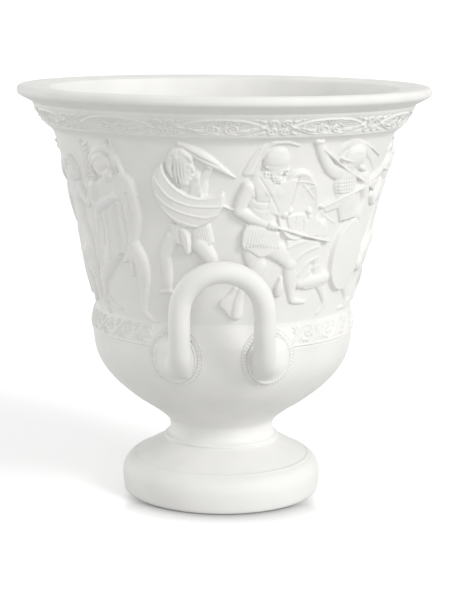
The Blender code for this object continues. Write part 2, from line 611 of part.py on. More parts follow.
def build():
    """Make the vessel and join the plates and handles to it."""
    for old in list(bpy.data.objects):
        bpy.data.objects.remove(old, do_unlink=True)
    product = bpy.data.collections.new("krater")
    tools = bpy.data.collections.new("joined_shapes")
    bpy.context.scene.collection.children.link(product)
    bpy.context.scene.collection.children.link(tools)
    clay = porcelain()

    mesh, carved = body_mesh()
    tidy(mesh)
    krater = bpy.data.objects.new("krater", mesh)
    product.objects.link(krater)
    mesh.materials.append(clay)
    group = krater.vertex_groups.new(name="carving")
    group.add(list(carved), 1.0, "REPLACE")
    thin = krater.modifiers.new("simplify_carving", "DECIMATE")
    thin.ratio = BODY_TRIANGLES / len(mesh.polygons)
    thin.vertex_group = "carving"
    thin.vertex_group_factor = 1000.0

    half_turn = Matrix.Rotation(math.pi, 4, "Z")
    shapes = []
    for at_back in (False, True):
        for name, shape in (("handle", handle_mesh()), ("plate", plate_mesh(-1)), ("plate", plate_mesh(1))):
            if at_back:
                shape.transform(half_turn)
            shapes.append((name, shape))
    for number, (name, shape) in enumerate(shapes):
        cutter = bpy.data.objects.new(f"{name}_{number}", shape)
        cutter.hide_render = True
        cutter.display_type = "WIRE"
        tools.objects.link(cutter)
        join = krater.modifiers.new(f"join_{name}_{number}", "BOOLEAN")
        join.operation = "UNION"
        join.solver = "EXACT"
        join.object = cutter


build()
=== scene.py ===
"""Dressed model of a white biscuit-porcelain krater: vessel, carved frieze, ornament bands, handles."""

import math

import bpy
import numpy as np
from mathutils import Matrix, Vector


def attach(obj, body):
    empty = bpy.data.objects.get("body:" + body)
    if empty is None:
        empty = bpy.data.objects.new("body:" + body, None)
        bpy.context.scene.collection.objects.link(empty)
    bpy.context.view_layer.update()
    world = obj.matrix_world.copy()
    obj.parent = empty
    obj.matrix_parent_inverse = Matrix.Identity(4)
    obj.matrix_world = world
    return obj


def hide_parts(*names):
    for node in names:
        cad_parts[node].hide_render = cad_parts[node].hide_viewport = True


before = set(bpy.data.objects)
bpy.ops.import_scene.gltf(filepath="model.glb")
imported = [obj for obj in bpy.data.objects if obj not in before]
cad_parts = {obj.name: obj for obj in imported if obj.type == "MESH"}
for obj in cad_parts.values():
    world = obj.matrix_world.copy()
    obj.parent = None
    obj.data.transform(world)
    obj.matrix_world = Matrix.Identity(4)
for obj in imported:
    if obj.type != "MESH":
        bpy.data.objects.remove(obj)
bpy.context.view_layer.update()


# Turned vessel
# The real vessel is one casting in unglazed biscuit porcelain, turned true and left matte.
# This piece is everything that the wheel makes: hollow foot, stem, bowl, core of the carved
# zones, lip, inside wall and floor, as one closed surface of revolution.
MM = 0.001
TURNED_COLUMNS = 168
BODY_COLOUR = "E8E7E3"
CLOUD_COLOUR = "D9D9D7"
CLOUD_SIZE = 40.0
PORCELAIN_ROUGHNESS = 0.62
POLISH = 0.06
PORCELAIN_IOR = 1.5
GRAIN_SIZE = 0.71429
GRAIN_DEPTH = 0.08
WAVE_SIZE = 8.3333
WAVE_DEPTH = 0.3


def linear(colour):
    """Linear RGBA from an sRGB hex colour."""
    parts = [int(colour[k:k + 2], 16) / 255.0 for k in (0, 2, 4)]
    return [c / 12.92 if c <= 0.04045 else ((c + 0.055) / 1.055) ** 2.4 for c in parts] + [1.0]


def add(tree, kind, settings, links=()):
    """One node with its properties, sockets and links set; a number names a socket by its place."""
    node = tree.nodes.new(kind)
    for name, value in settings.items():
        if isinstance(name, int) or name in node.inputs:
            node.inputs[name].default_value = value
        else:
            setattr(node, name, value)
    for name, source in links:
        tree.links.new(source, node.inputs[name])
    return node


def biscuit_porcelain():
    """Matte white biscuit: faint clouding of the body, fine grain and slow waves of the casting."""
    material = bpy.data.materials.new("biscuit_porcelain")
    material.use_nodes = True
    tree = material.node_tree
    shader = tree.nodes["Principled BSDF"]
    shader.inputs["IOR"].default_value = PORCELAIN_IOR
    place = add(tree, "ShaderNodeTexCoord", {}).outputs["Object"]
    # Clouds in the body, a shade darker than the rest
    cloud = add(tree, "ShaderNodeTexNoise", {"Scale": 1.0 / (CLOUD_SIZE * MM), "Detail": 2.0},
                [("Vector", place)])
    shade = add(tree, "ShaderNodeMix",
                {"data_type": "RGBA", 6: linear(BODY_COLOUR), 7: linear(CLOUD_COLOUR)},
                [(0, cloud.outputs["Fac"])])
    tree.links.new(shade.outputs[2], shader.inputs["Base Color"])
    # Roughness drifts a little where hands have polished the biscuit
    polish = add(tree, "ShaderNodeMapRange",
                 {"To Min": PORCELAIN_ROUGHNESS - POLISH, "To Max": PORCELAIN_ROUGHNESS + POLISH},
                 [("Value", cloud.outputs["Fac"])])
    tree.links.new(polish.outputs["Result"], shader.inputs["Roughness"])
    # The real grain, about 0.1 mm, is too fine to show and is drawn coarser, over slow waves of the mould
    grain = add(tree, "ShaderNodeTexNoise", {"Scale": 1.0 / (GRAIN_SIZE * MM), "Detail": 2.0},
                [("Vector", place)])
    waves = add(tree, "ShaderNodeTexNoise", {"Scale": 1.0 / (WAVE_SIZE * MM), "Detail": 1.0},
                [("Vector", place)])
    wavy = add(tree, "ShaderNodeBump", {"Strength": 0.12, "Distance": WAVE_DEPTH * MM},
               [("Height", waves.outputs["Fac"])])
    grainy = add(tree, "ShaderNodeBump", {"Strength": 0.1, "Distance": GRAIN_DEPTH * MM},
                 [("Height", grain.outputs["Fac"]), ("Normal", wavy.outputs["Normal"])])
    tree.links.new(grainy.outputs["Normal"], shader.inputs["Normal"])
    return material


def smooth(points, steps=4):
    """Cubic curve through points of any dimension, each slope half the step between the neighbours."""
    keys = np.array(points, float)
    ends = np.concatenate([[2 * keys[0] - keys[1]], keys, [2 * keys[-1] - keys[-2]]])
    a, b, c, d = (ends[k:len(ends) - 3 + k, None, :] for k in range(4))
    t = (np.arange(steps) / steps)[None, :, None]
    bend = 2 * a - 5 * b + 4 * c - d
    twist = 3 * b - a - 3 * c + d
    path = 0.5 * (2 * b + (c - a) * t + bend * t * t + twist * t ** 3)
    return np.concatenate([path.reshape(-1, keys.shape[1]), keys[-1:]])


def add_grid(name, points, wrap, poles=False):
    """Smooth mesh on a grid of points in metres, facing the side from which rows run up and columns right.

    Wrap joins the last column to the first; poles close the first and the last row with a fan each.
    """
    rows, columns = points.shape[:2]
    index = np.arange(rows * columns).reshape(rows, columns)
    if wrap:
        index = np.concatenate([index, index[:, :1]], axis=1)
    quads = np.stack([index[:-1, :-1], index[:-1, 1:], index[1:, 1:], index[1:, :-1]], axis=-1)
    corners = points.reshape(-1, 3)
    faces = quads.reshape(-1, 4).tolist()
    if poles:
        corners = np.concatenate([corners, points[:1].mean(axis=1), points[-1:].mean(axis=1)])
        first = len(corners) - 2
        faces += [(first, b, a) for a, b in zip(index[0, :-1].tolist(), index[0, 1:].tolist())]
        faces += [(first + 1, a, b) for a, b in zip(index[-1, :-1].tolist(), index[-1, 1:].tolist())]
    mesh = bpy.data.meshes.new(name)
    mesh.from_pydata(corners.tolist(), [], faces)
    mesh.shade_smooth()
    piece = bpy.data.objects.new(name, mesh)
    bpy.context.scene.collection.objects.link(piece)
    mesh.materials.append(porcelain)
    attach(piece, "root")
    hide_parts("krater")


def round_axis(radius, angle, level):
    """Points in metres from radii and heights in mm and angles in radians from the front to the right."""
    return np.stack(np.broadcast_arrays(radius * np.sin(angle), -radius * np.cos(angle), level), -1) * MM


porcelain = biscuit_porcelain()
# Profiles of the turned zones, radius and height in mm, up the outside and then down the inside
HOLLOW_FOOT = smooth([(12, 71.5), (34, 71.2), (41, 66), (43.5, 58), (49, 49), (60, 41.5), (71, 34.8),
                      (79.5, 26), (84.6, 14), (86, 4), (86.6, 0.8), (88.2, 0)], 2)
FOOT = smooth([(94.8, 0), (96.2, 0.3), (97.4, 1.5), (98.3, 4.5), (99, 9.5), (99.4, 15.5), (99.1, 21.5),
               (97.5, 26.8), (94.8, 31), (91.6, 34), (89.6, 35.2)])
ARRIS = [(89, 35.9), (88.4, 36.5), (87.6, 36.7), (87, 36.6)]
FOOT_SLOPE = smooth([(86.4, 36.7), (78.5, 41.4), (67, 48), (59, 52.2), (57.6, 53.2)])
STEM_RING = smooth([(56.6, 54), (57.1, 55), (56.6, 56.4), (54.6, 57.4), (52.8, 59)])
BOWL = smooth([(51.7, 62), (51.5, 65.5), (51.9, 69), (53.2, 72.6), (56.2, 76.3), (62.8, 82), (70.9, 88),
               (83.2, 96), (93.7, 104), (105.2, 114), (114.2, 124), (121, 134), (125.4, 144),
               (127.6, 154), (128.7, 164)])
BAND_CORE = [(127.6, 168), (127.6, 178), (124.4, 184), (124.2, 190)]
FRIEZE_CORE = [(128.8, 212), (133.4, 232), (142, 272), (150.6, 312), (155.6, 332), (162, 352), (165, 362)]
UPPER_CORE = [(171, 368.4), (182.6, 385.6), (184.6, 387.2)]
LIP = smooth([(185.9, 388.3), (186, 389.2), (186.7, 390), (189.4, 391.5), (193.6, 393.7), (197.2, 395.6),
              (199.7, 397.1), (200.8, 398.9), (201.1, 401), (200.6, 403.4), (199, 405.1), (196.8, 405.9),
              (194, 405.9)])
INSIDE = smooth([(188, 405.4), (172.2, 403.6), (170, 402.9), (168.9, 401.4), (167.2, 397), (161.8, 380),
                 (153.4, 350), (140.3, 300), (129.7, 250), (120, 204), (118.2, 188), (118.2, 166),
                 (116.2, 150), (110.8, 136), (97.5, 120), (85.5, 110), (72.1, 100), (58, 90.5), (46, 86),
                 (32, 84.3), (10, 84)], 3)
turned_profile = np.concatenate([HOLLOW_FOOT, FOOT, ARRIS, FOOT_SLOPE, STEM_RING, BOWL, BAND_CORE,
                                 FRIEZE_CORE, UPPER_CORE, LIP, INSIDE])
around = 2.0 * np.pi * np.arange(TURNED_COLUMNS) / TURNED_COLUMNS
turned_points = round_axis(turned_profile[:, :1], around, turned_profile[:, 1:])
add_grid("turned_vessel", turned_points, wrap=True, poles=True)


# Carved frieze
# The figures stand 2 to 7 mm proud of a flared ground and were cast in one with the wall.
# Each figure is drawn in mm on the unrolled wall, and four panels carry the whole frieze, finer in
# front than behind. The back half repeats the cast of the front, turned to face the other way.
FRIEZE_FOOT = 190.5
FRIEZE_HEAD = 367.0
FOOT_OVERLAP = 0.7
HEAD_MARGIN = 1.5
FRONT_COLUMNS = 350
BACK_COLUMNS = 190
FRIEZE_ROWS = 240
LEAN = math.radians(13.2)
# Share of a drawn height that is carved, width of the soft corners, fade at the foot and head
DEPTH = 0.8
JOIN = 0.8
EDGE = 1.0
CORNER_CUT = 0.18
FAR_OFF = 1000.0
SWELL_REACH = 12.0
HATCH_WIDTH = 0.55
RIM_SLOPE = 3.0
LIMB_POWER = 2.4
BALL_POWER = 0.4
# Plain ground of the frieze, radius and height
GROUND = np.array([(126.0, 186.0), (126.0, 192.0), (130.6, 212.0), (135.2, 232.0), (139.6, 252.0),
                   (143.8, 272.0), (148.0, 292.0), (152.4, 312.0), (157.4, 332.0), (163.2, 352.0),
                   (165.4, 359.5), (166.4, 362.0), (168.4, 364.5), (171.4, 367.0)])


def round_outline(corners):
    """Closed outline with each corner cut twice, as an array."""
    points = np.array(corners, float)
    for _ in range(2):
        after = np.roll(points, -1, axis=0)
        near = (1.0 - CORNER_CUT) * points + CORNER_CUT * after
        far = CORNER_CUT * points + (1.0 - CORNER_CUT) * after
        points = np.stack([near, far], 1).reshape(-1, 2)
    return points


class Figure:
    """Height of one carved figure over the wall; x runs round from its own axis, z is up, all in mm."""

    def __init__(self, x, z):
        self.x = x
        self.z = z
        self.h = np.zeros_like(x)
        self.level = z[:, 0]
        self.widest = x[-1]
        self.narrowest = x[0]

    def window(self, points, margin):
        """Row and column slices that hold the points and a margin round them."""
        xs = [p[0] for p in points]
        zs = [p[1] for p in points]
        rows = np.flatnonzero((self.level > min(zs) - margin) & (self.level < max(zs) + margin))
        left = np.minimum(self.widest, self.narrowest)
        right = np.maximum(self.widest, self.narrowest)
        columns = np.flatnonzero((right > min(xs) - margin) & (left < max(xs) + margin))
        if not len(rows) or not len(columns):
            return slice(0, 0), slice(0, 0)
        return slice(rows[0], rows[-1] + 1), slice(columns[0], columns[-1] + 1)

    def along(self, start, end, place):
        """Distance of points from a straight bar, and how far along it the nearest place is."""
        x = self.x[place]
        z = self.z[place]
        dx = end[0] - start[0]
        dz = end[1] - start[1]
        t = np.clip(((x - start[0]) * dx + (z - start[1]) * dz) / (dx * dx + dz * dz), 0.0, 1.0)
        return np.hypot(x - start[0] - t * dx, z - start[1] - t * dz), t

    def raise_to(self, height, place, join=JOIN):
        """Keep the higher of what stands there and the new height, with a soft join in the corner."""
        here = self.h[place]
        gap = np.clip(1.0 - np.abs(here - height) / join, 0.0, 1.0)
        blend = np.where(height > 0.0, join * gap * gap / 4, 0.0)
        self.h[place] = np.maximum(here, height) + blend

    def limb(self, points, widths, lift=0.0, flat=0.75):
        """Bar along a smooth line with a broad back and steep sides; lift sets how far it stands off."""
        keys = [(x, z, width) for (x, z), width in zip(points, widths)]
        path = smooth(keys, 8 if len(points) > 2 else 1)
        place = self.window(points, max(widths) / 2 + 3.0)
        away = np.full_like(self.x[place], FAR_OFF)
        half = np.ones_like(away)
        for start, end in zip(path, path[1:]):
            near, t = self.along(start, end, place)
            half = np.where(near < away, (start[2] + (end[2] - start[2]) * t) / 2, half)
            away = np.minimum(near, away)
        back = np.clip(1.0 - (away / half) ** LIMB_POWER, 0.0, None)
        self.raise_to((lift + flat * half) * np.sqrt(back), place)

    def ball(self, centre, half_x, half_z, height, turn=0.0):
        """Rounded mass with the given half width and half height, turned by an angle in degrees."""
        place = self.window([centre], max(half_x, half_z) + 1.0)
        c = math.cos(math.radians(turn))
        s = math.sin(math.radians(turn))
        dx = self.x[place] - centre[0]
        dz = self.z[place] - centre[1]
        u = (dx * c + dz * s) / half_x
        v = (dz * c - dx * s) / half_z
        self.raise_to(height * np.clip(1.0 - u * u - v * v, 0.0, None) ** BALL_POWER, place)

    def depth_inside(self, corners, place):
        """Distance in from the nearest side of a closed outline, nought outside it."""
        x = self.x[place]
        z = self.z[place]
        near = np.full_like(x, FAR_OFF)
        odd = np.zeros(x.shape, bool)
        for start, end in zip(corners, np.roll(corners, -1, axis=0)):
            near = np.minimum(near, self.along(start, end, place)[0])
            if start[1] != end[1]:
                crossing = (z < start[1]) != (z < end[1])
                slant = start[0] + (z - start[1]) * (end[0] - start[0]) / (end[1] - start[1])
                odd ^= crossing & (x < slant)
        return np.where(odd, near, 0.0)

    def sheet(self, corners, height, edge, swell=0.0):
        """Flat mass inside a smooth outline, rounded over within the edge width and swelling inward."""
        place = self.window(corners, 2.0)
        inside = self.depth_inside(round_outline(corners), place)
        t = np.clip(inside / edge, 0.0, 1.0)
        fuller = swell * np.clip(inside / SWELL_REACH, 0.0, 1.0)
        self.raise_to(height * np.sqrt(1.0 - (1.0 - t) ** 2) + fuller, place)

    def skirt(self, corners, folds, height, depth):
        """Pleated cloth between four corners, upper pair first, swelling in the middle."""
        (ax, az), (bx, bz), (cx, cz), (dx, dz) = corners
        place = self.window(corners, 3.0)
        x = self.x[place]
        z = self.z[place]
        s = np.full_like(x, 0.5)
        for _ in range(3):
            top = az + (bz - az) * s
            low = dz + (cz - dz) * s
            t = (top - z) / (top - low)
            left = ax + (dx - ax) * t
            right = bx + (cx - bx) * t
            s = np.clip((x - left) / (right - left), -0.5, 1.5)
        hem = 1.0 - 0.05 * np.abs(np.cos(np.pi * folds * s))
        inside = (s > 0.0) & (s < 1.0) & (t > 0.0) & (t < hem)
        swell = np.sqrt(np.clip(1.0 - (2.0 * s - 1.0) ** 4, 0.0, 1.0))
        swell = swell * (0.8 + 0.2 * np.clip(t, 0.0, 1.0))
        pleat = depth * np.abs(np.sin(np.pi * folds * s)) * np.clip(0.3 + t * 3.0, 0.0, 1.0)
        self.raise_to(np.where(inside, (height - depth) * swell + pleat, 0.0), place, 0.3)

    def line(self, points, width, height):
        """Raised or sunk line drawn over what is already there."""
        path = smooth(points, 4 if len(points) > 2 else 1)
        place = self.window(points, 2.0 * width)
        away = np.full_like(self.x[place], FAR_OFF)
        for start, end in zip(path, path[1:]):
            away = np.minimum(away, self.along(start, end, place)[0])
        self.h[place] += height * np.exp(-(2.0 * away / width) ** 2)

    def hatch(self, upper, lower, count, depth):
        """Fine ridges that run across a strip between two smooth edges."""
        place = self.window(upper + lower, 1.0)
        first = smooth(upper, count // (len(upper) - 1))
        last = smooth(lower, count // (len(lower) - 1))
        for start, end in zip(first[1:], last[1:]):
            away, t = self.along(start, end, place)
            ridge = depth * np.exp(-(away / HATCH_WIDTH) ** 2)
            self.h[place] += np.where((t > 0.0) & (t < 1.0), ridge, 0.0)

    def shield(self, centre, half_x, half_z, face):
        """Oval shield whose height is a function of the share of the way out, with a steep edge."""
        place = self.window([centre], max(half_x, half_z) + 1.0)
        share = np.hypot((self.x[place] - centre[0]) / half_x, (self.z[place] - centre[1]) / half_z)
        edge = (1.0 - share) * half_x * RIM_SLOPE
        self.raise_to(np.where(share < 1.0, np.minimum(face(share), edge), 0.0), place)

    def boss(self, centre, half_x, half_z, middle, rim):
        """Shield seen from outside: a shallow dome inside a flat rim band."""
        self.shield(centre, half_x, half_z,
                    lambda share: rim + middle * np.clip(1.0 - (share / 0.86) ** 2, 0.0, 1.0))

    def dish(self, centre, half_x, half_z, middle, rim):
        """Shield seen from inside: a raised rim round a hollow."""
        self.shield(centre, half_x, half_z,
                    lambda share: middle + (rim - middle) * np.clip(share / 0.9, 0.0, 1.0) ** 4)


def shield_bearer(f):
    """Long-haired fighter behind a crescent shield, the far arm raised with a bundle of shafts."""
    f.limb([(13, 268.5), (19, 259), (21.5, 250.5)], [17, 15, 13], 0.6)
    f.limb([(20.5, 251.5), (7, 234), (-4, 218)], [12, 11, 7], 0.3)
    f.limb([(-4, 217), (-14, 210.5)], [7, 4], 0.3)
    # bent leg and its foot
    f.limb([(-14, 274.5), (-21.5, 259), (-21, 249.5), (-21, 239), (-20, 224.5)],
           [15, 12.5, 11.5, 11, 6.5], 0.8, 0.45)
    f.limb([(-19, 223.5), (-28, 222)], [6.5, 4], 1.2)
    # pleated kilt with its flap
    f.skirt([(-16, 289.5), (5, 287), (5.5, 261.5), (-14, 273)], 8, 5.4, 0.9)
    f.skirt([(4, 287), (21.5, 291), (25, 271.5), (5.5, 260.5)], 9, 5.2, 0.9)
    f.sheet([(-7, 286.5), (2.5, 286), (5, 263.5), (2, 259.5), (-1.5, 260)], 6.4, 1.6)
    f.line([(-1.5, 283), (1, 275.5), (1, 264)], 1.6, 0.6)
    # chest, neck and the raised arm
    f.limb([(9, 326), (6, 302)], [26, 24], 0.0, 0.3)
    f.skirt([(4, 332), (15, 337), (18, 314), (2, 315.5)], 9, 5.6, 1.1)
    f.limb([(15, 324), (18, 331.5), (24.5, 340)], [9, 8.5, 7], 1.4, 0.5)
    f.ball((24, 342), 4, 3.6, 4.0)
    # bundle of shafts with a broad middle
    f.limb([(-2, 362), (8.5, 357), (19.5, 350), (30, 343), (46, 332)], [5, 9, 11, 8, 1.6], 1.6)
    f.line([(0.5, 360), (16, 351), (32.5, 343)], 1.6, -1.3)
    f.line([(-0.5, 358.5), (13, 349), (26.5, 340)], 1.4, 0.7)
    # head: cap of hair, face in profile, beard and hanging locks
    f.limb([(1, 328.5), (3, 334)], [12, 11], 1.6)
    f.ball((3.5, 340.5), 8.2, 11, 6.0)
    f.ball((7, 343), 4, 3.4, 6.3)
    f.limb([(9, 342.5), (10, 338.5)], [2.2, 3.0], 4.6)
    f.limb([(7, 334.5), (8.5, 334.5)], [2.8, 2.6], 4.2)
    f.ball((5, 332), 4.2, 4.2, 5.6)
    f.ball((-2, 350), 11.5, 9.5, 6.6, -20)
    f.limb([(-10, 349), (-12, 340.5), (-9.5, 332.5)], [8, 7.5, 5], 3.2)
    f.limb([(1, 355), (7, 350.5), (9, 345)], [8, 7, 3.5], 3.6)
    for k in range(4):
        f.limb([(-6.5, 346.5), (-6.5, 336.5), (-5.5, 328)] + np.array([2.9 * k, -0.6 * k]),
               [3.2, 3.0, 1.8], 5.2, 0.6)
    for k in range(6):
        f.line([(-4.5, 350), (-11.5, 354.5) + np.array([4.0 * k, 0.5 * k * (5 - k)])], 1.3, 0.5)
    # crescent shield, ribbed lengthwise and finely hatched across
    f.sheet([(-18, 346), (-16, 336), (-11, 328), (-4, 321.5), (5, 317), (15.5, 315), (26, 316), (35, 319),
             (36, 315.5), (35.5, 307), (31.5, 299.5), (25, 293), (17.5, 288), (7.5, 285), (0.5, 285.5),
             (-7.5, 288.5), (-15, 294.5), (-23, 304), (-28, 316), (-29.5, 327), (-27.5, 336.5), (-23, 342)],
            6.8, 2.0, 1.2)
    upper = [(-20, 341.5), (-18, 335), (-13, 326), (-5, 319.5), (4.5, 314), (15, 312), (26, 313.5),
             (33.5, 314.5)]
    lower = [(-28, 328), (-25, 314), (-19, 303.5), (-11, 294.5), (0.5, 288.5), (10.5, 288), (20.5, 293),
             (32.5, 304)]
    f.hatch(upper, lower, 40, 0.35)
    f.line([(-18.5, 343), (-16, 334), (-11, 326), (-4, 320), (4.5, 315), (15, 313), (26, 314.5),
            (34.5, 316.5)], 1.8, 0.8)
    f.line([(-26, 332), (-20.5, 323), (-12, 314), (2.5, 308), (17.5, 306.5), (34.5, 307)], 1.7, 1.0)
    f.line([(-27.5, 318.5), (-18.5, 309), (-7, 302.5), (6.5, 298.5), (20, 296.5), (29.5, 299.5)], 1.7, 1.0)
    f.line([(-21, 304.5), (-11, 295.5), (0, 290.5), (11.5, 287.5)], 1.7, 0.9)


def swordsman(f):
    """Crested fighter thrusting low with a long blade, the round shield out on the far arm."""
    f.dish((29.5, 305), 21.5, 34, 2.0, 5.4)
    f.line([(40.5, 331.5), (47.5, 323.5), (51.5, 312.5), (51.5, 302.5)], 1.8, -0.8)
    f.line([(26, 327), (33, 327.5), (43.5, 325.5)], 1.4, 1.0)
    f.line([(33, 325), (39, 319), (45, 312)], 1.3, 1.0)
    f.line([(43, 322.5), (36, 319), (33.5, 314)], 1.3, 0.8)
    f.line([(49.5, 301.5), (47, 293), (44.5, 285)], 1.4, -0.8)
    # back leg: thigh, calf and the foot that shows inside the handle
    f.limb([(-10.5, 270.5), (-8, 259), (-5.5, 247.5)], [22, 21, 16], 0.6, 0.4)
    f.limb([(-3.5, 249.5), (-10, 235), (-16.5, 224)], [16, 14, 10], 1.0, 0.5)
    f.sheet([(-24, 230.5), (-17.5, 228.5), (-17, 215), (-17.5, 205.5), (-20, 198), (-26.5, 198),
             (-32, 205.5), (-38, 211), (-37.5, 216), (-30.5, 222)], 3.8, 3.0)
    f.limb([(-18.5, 226.5), (-20.5, 215), (-21, 202.5)], [8, 10, 11], 3.0, 0.6)
    # front leg striding out over the fallen man
    f.limb([(-0.5, 271), (15, 262), (27, 251)], [22, 19, 14], 1.4, 0.45)
    f.ball((27, 249.5), 7, 7, 6.6)
    f.limb([(27, 250), (29, 237), (30.5, 224.5), (32.5, 214.5)], [14, 15, 10, 7.5], 1.4, 0.55)
    f.limb([(32.5, 214), (39, 212), (47, 211)], [7, 5.5, 3.5], 1.2)
    # trunk with the chest muscles and the baldric
    f.limb([(-1, 322.5), (-2.5, 306), (-3, 287)], [36, 30, 27], 1.6, 0.28)
    f.ball((-7.5, 319), 10.5, 8.6, 6.6, 10)
    f.ball((7.5, 319.5), 10.5, 8.6, 6.4, -10)
    f.ball((-4, 301), 11, 9.5, 6.0)
    f.line([(-13.5, 313.5), (-9, 310.5), (0, 310), (9.5, 310), (14.5, 313.5)], 2.0, -0.9)
    f.line([(-11.5, 305), (-5, 303), (4, 304.5)], 2.0, -0.5)
    f.line([(-1, 324.5), (0, 313), (-2, 298.5)], 1.8, -0.5)
    # far arm, foreshortened behind the shield's edge
    f.sheet([(-1.5, 326), (13, 329.5), (27.5, 332.5), (25.5, 321.5), (23.5, 309.5), (20.5, 300), (12.5, 295),
             (1, 300)], 5.6, 1.5)
    f.line([(27.5, 331.5), (25.5, 319.5), (23.5, 307.5), (20.5, 294)], 2.2, -1.7)
    f.ball((16.5, 298), 4.6, 4.6, 7.0)
    # tunic and ribbed kilt, hung with small beads
    f.sheet([(-21, 287.5), (-3.5, 287), (14.5, 281), (13, 266), (4, 259.5), (-4.5, 257.5), (-14, 264.5),
             (-22, 267)], 6.2, 1.6)
    f.skirt([(-19, 290), (15.5, 282), (11.5, 268.5), (-21.5, 271)], 14, 7.6, 1.1)
    f.line([(-19, 291), (-7.5, 290), (2, 285.5), (14.5, 283)], 1.8, -0.9)
    for k in range(11):
        f.ball((-19.5, 270) + np.array([3.2 * k, -0.2 * k]), 1.1, 1.1, 8.0)
    f.line([(-18, 263), (-17, 268.5)], 1.6, -0.8)
    # near arm, bent, with the hand on the hilt
    f.limb([(4, 326), (1, 320.5)], [14, 16], 1.8)
    f.limb([(-18.5, 323), (-23, 311.5), (-25, 301.5)], [14, 13.5, 12], 3.4, 0.6)
    f.line([(-21, 329.5), (-16, 327.5), (-13, 321), (-12, 313.5)], 1.8, -1.3)
    f.limb([(-25.5, 302.5), (-15, 296), (-4, 291), (5.5, 287)], [12, 11.5, 9.5, 7.5], 3.8, 0.6)
    f.limb([(-40.5, 306.5), (-30.5, 303)], [2.6, 3.2], 3.0)
    f.limb([(5.5, 288), (23, 282), (42.5, 276), (68, 269)], [3.0, 3.4, 3.2, 2.0], 6.0, 0.8)
    f.ball((5.5, 288.5), 6.4, 4.6, 8.6, -25)
    for k in range(4):
        f.limb([(2.5, 291), (2, 286)] + np.array([2.4 * k, -0.8 * k]), [2.0, 2.0], 7.6)
    # crest: the brush over the helmet and the broad mane behind it
    f.sheet([(-10.5, 361.5), (-2.5, 364), (-7.5, 352), (-8, 342), (-12, 333.5), (-26, 333), (-19.5, 347.5)],
            2.3, 3.0)
    f.limb([(26, 360.5), (12, 364), (1, 362.5), (-6, 356.5), (-9, 348.5)], [1.6, 3.4, 5.5, 5.5, 3], 1.8, 0.4)
    f.line([(-11.5, 357.5), (-17.5, 345.5), (-23.5, 334)], 1.5, -0.6)
    f.line([(-8, 355.5), (-13, 343), (-18, 333)], 1.5, -0.6)
    f.line([(15.5, 359.5), (5, 361), (-3.5, 357.5), (-7.5, 349)], 1.3, -0.8)
    # head in profile: cheek, nose, beard and curls
    f.ball((4, 337), 8.5, 9, 6.4)
    f.ball((8.5, 337.5), 4.6, 4.4, 7.4)
    f.limb([(12, 339), (14.5, 335.5)], [2.4, 3.0], 6.0)
    f.ball((7, 331.5), 6.2, 5.2, 7.7)
    f.line([(9.5, 333.5), (13.5, 333.5)], 1.2, -1.0)
    f.line([(8, 338), (11.5, 338.5)], 1.5, -1.0)
    f.line([(-1, 337), (1.5, 330.5), (7, 327)], 2.0, -1.4)
    for k in range(9):
        f.ball((2, 333.5) + np.array([2.6 * (k % 3) + 0.9 * (k // 3), -2.5 * (k // 3)]), 1.7, 1.6, 7.9)
    for k in range(6):
        f.ball((-4.5, 337) + np.array([2.8 * (k // 2), -2.8 * (k % 2) - 0.5 * (k // 2)]), 1.9, 1.8, 6.6)
    f.ball((5, 348), 12.4, 12.4, 7.6)
    f.limb([(-5.5, 342.5), (1, 340.5), (9, 340), (18, 339)], [1.6, 1.8, 2.0, 1.6], 5.9)
    f.line([(-4, 344.5), (4, 343.5), (13.5, 344)], 1.4, -0.5)
    f.line([(-4, 351), (-0.5, 356), (4.5, 357.5), (11, 355)], 1.4, 0.5)
    f.line([(-9.5, 333), (0.5, 318), (10, 301)], 1.5, -0.9)
    f.line([(18, 283.5), (34, 275.5), (47.5, 271)], 2.4, -1.2)


def fallen_fighter(f):
    """Man down on one knee between two fighters, his cloak bunched over him."""
    # upper body bent under the blade, one arm up before the shield
    f.sheet([(-31.5, 296.5), (-22, 298), (-9.5, 298.5), (0, 294), (8, 288.5), (17.5, 283), (17, 272.5),
             (-5.5, 276.5), (-27, 282.5)], 4.6, 1.6)
    f.limb([(-15.5, 283.5), (-12.5, 291), (-8, 296.5)], [7, 7, 6], 3.2, 0.4)
    f.ball((-8.5, 299.5), 3.6, 3.8, 6.2)
    f.ball((-28, 300.5), 3.4, 3.4, 6.2)
    f.line([(4.5, 292.5), (4, 286), (0.5, 278)], 1.8, -1.6)
    f.line([(-21.5, 295.5), (-22, 289), (-25.5, 283.5)], 1.6, -0.9)
    f.line([(-11, 297.5), (-9, 292)], 2.0, -1.5)
    f.line([(-13.5, 291), (-12.5, 282.5)], 1.8, -1.2)
    f.sheet([(-29.5, 273), (-15, 275), (0.5, 272), (11.5, 269.5), (13, 256.5), (13.5, 247), (21, 236.5),
             (28.5, 226.5), (16, 224.5), (-0.5, 223), (-12.5, 230), (-21, 248)], 4.4, 2.2)
    f.line([(-26.5, 265.5), (-17, 269.5), (-7, 272)], 3.0, 0.9)
    f.line([(-18.5, 251.5), (-7.5, 260.5), (6.5, 265)], 3.2, 1.1)
    f.line([(-11, 239.5), (-2.5, 250.5), (8.5, 255)], 3.0, 1.1)
    f.line([(-5, 234.5), (2.5, 242.5), (12.5, 247)], 2.4, 0.7)
    # bent leg, kneeling foot and trailing hand
    f.limb([(-6.5, 230.5), (7, 232), (23, 233.5)], [11, 13.5, 13], 2.4, 0.6)
    f.limb([(17.5, 228), (25, 218), (30.5, 207.5)], [10, 8.5, 6], 1.0, 0.45)
    f.limb([(30.5, 206.5), (27, 201), (22.5, 197)], [6, 4.5, 3], 0.5)
    f.line([(4, 248), (4, 243), (5.5, 239)], 4.2, -2.4)
    f.limb([(-26.5, 236), (-27, 228), (-27, 222.5)], [5, 9, 8.5], 2.4)


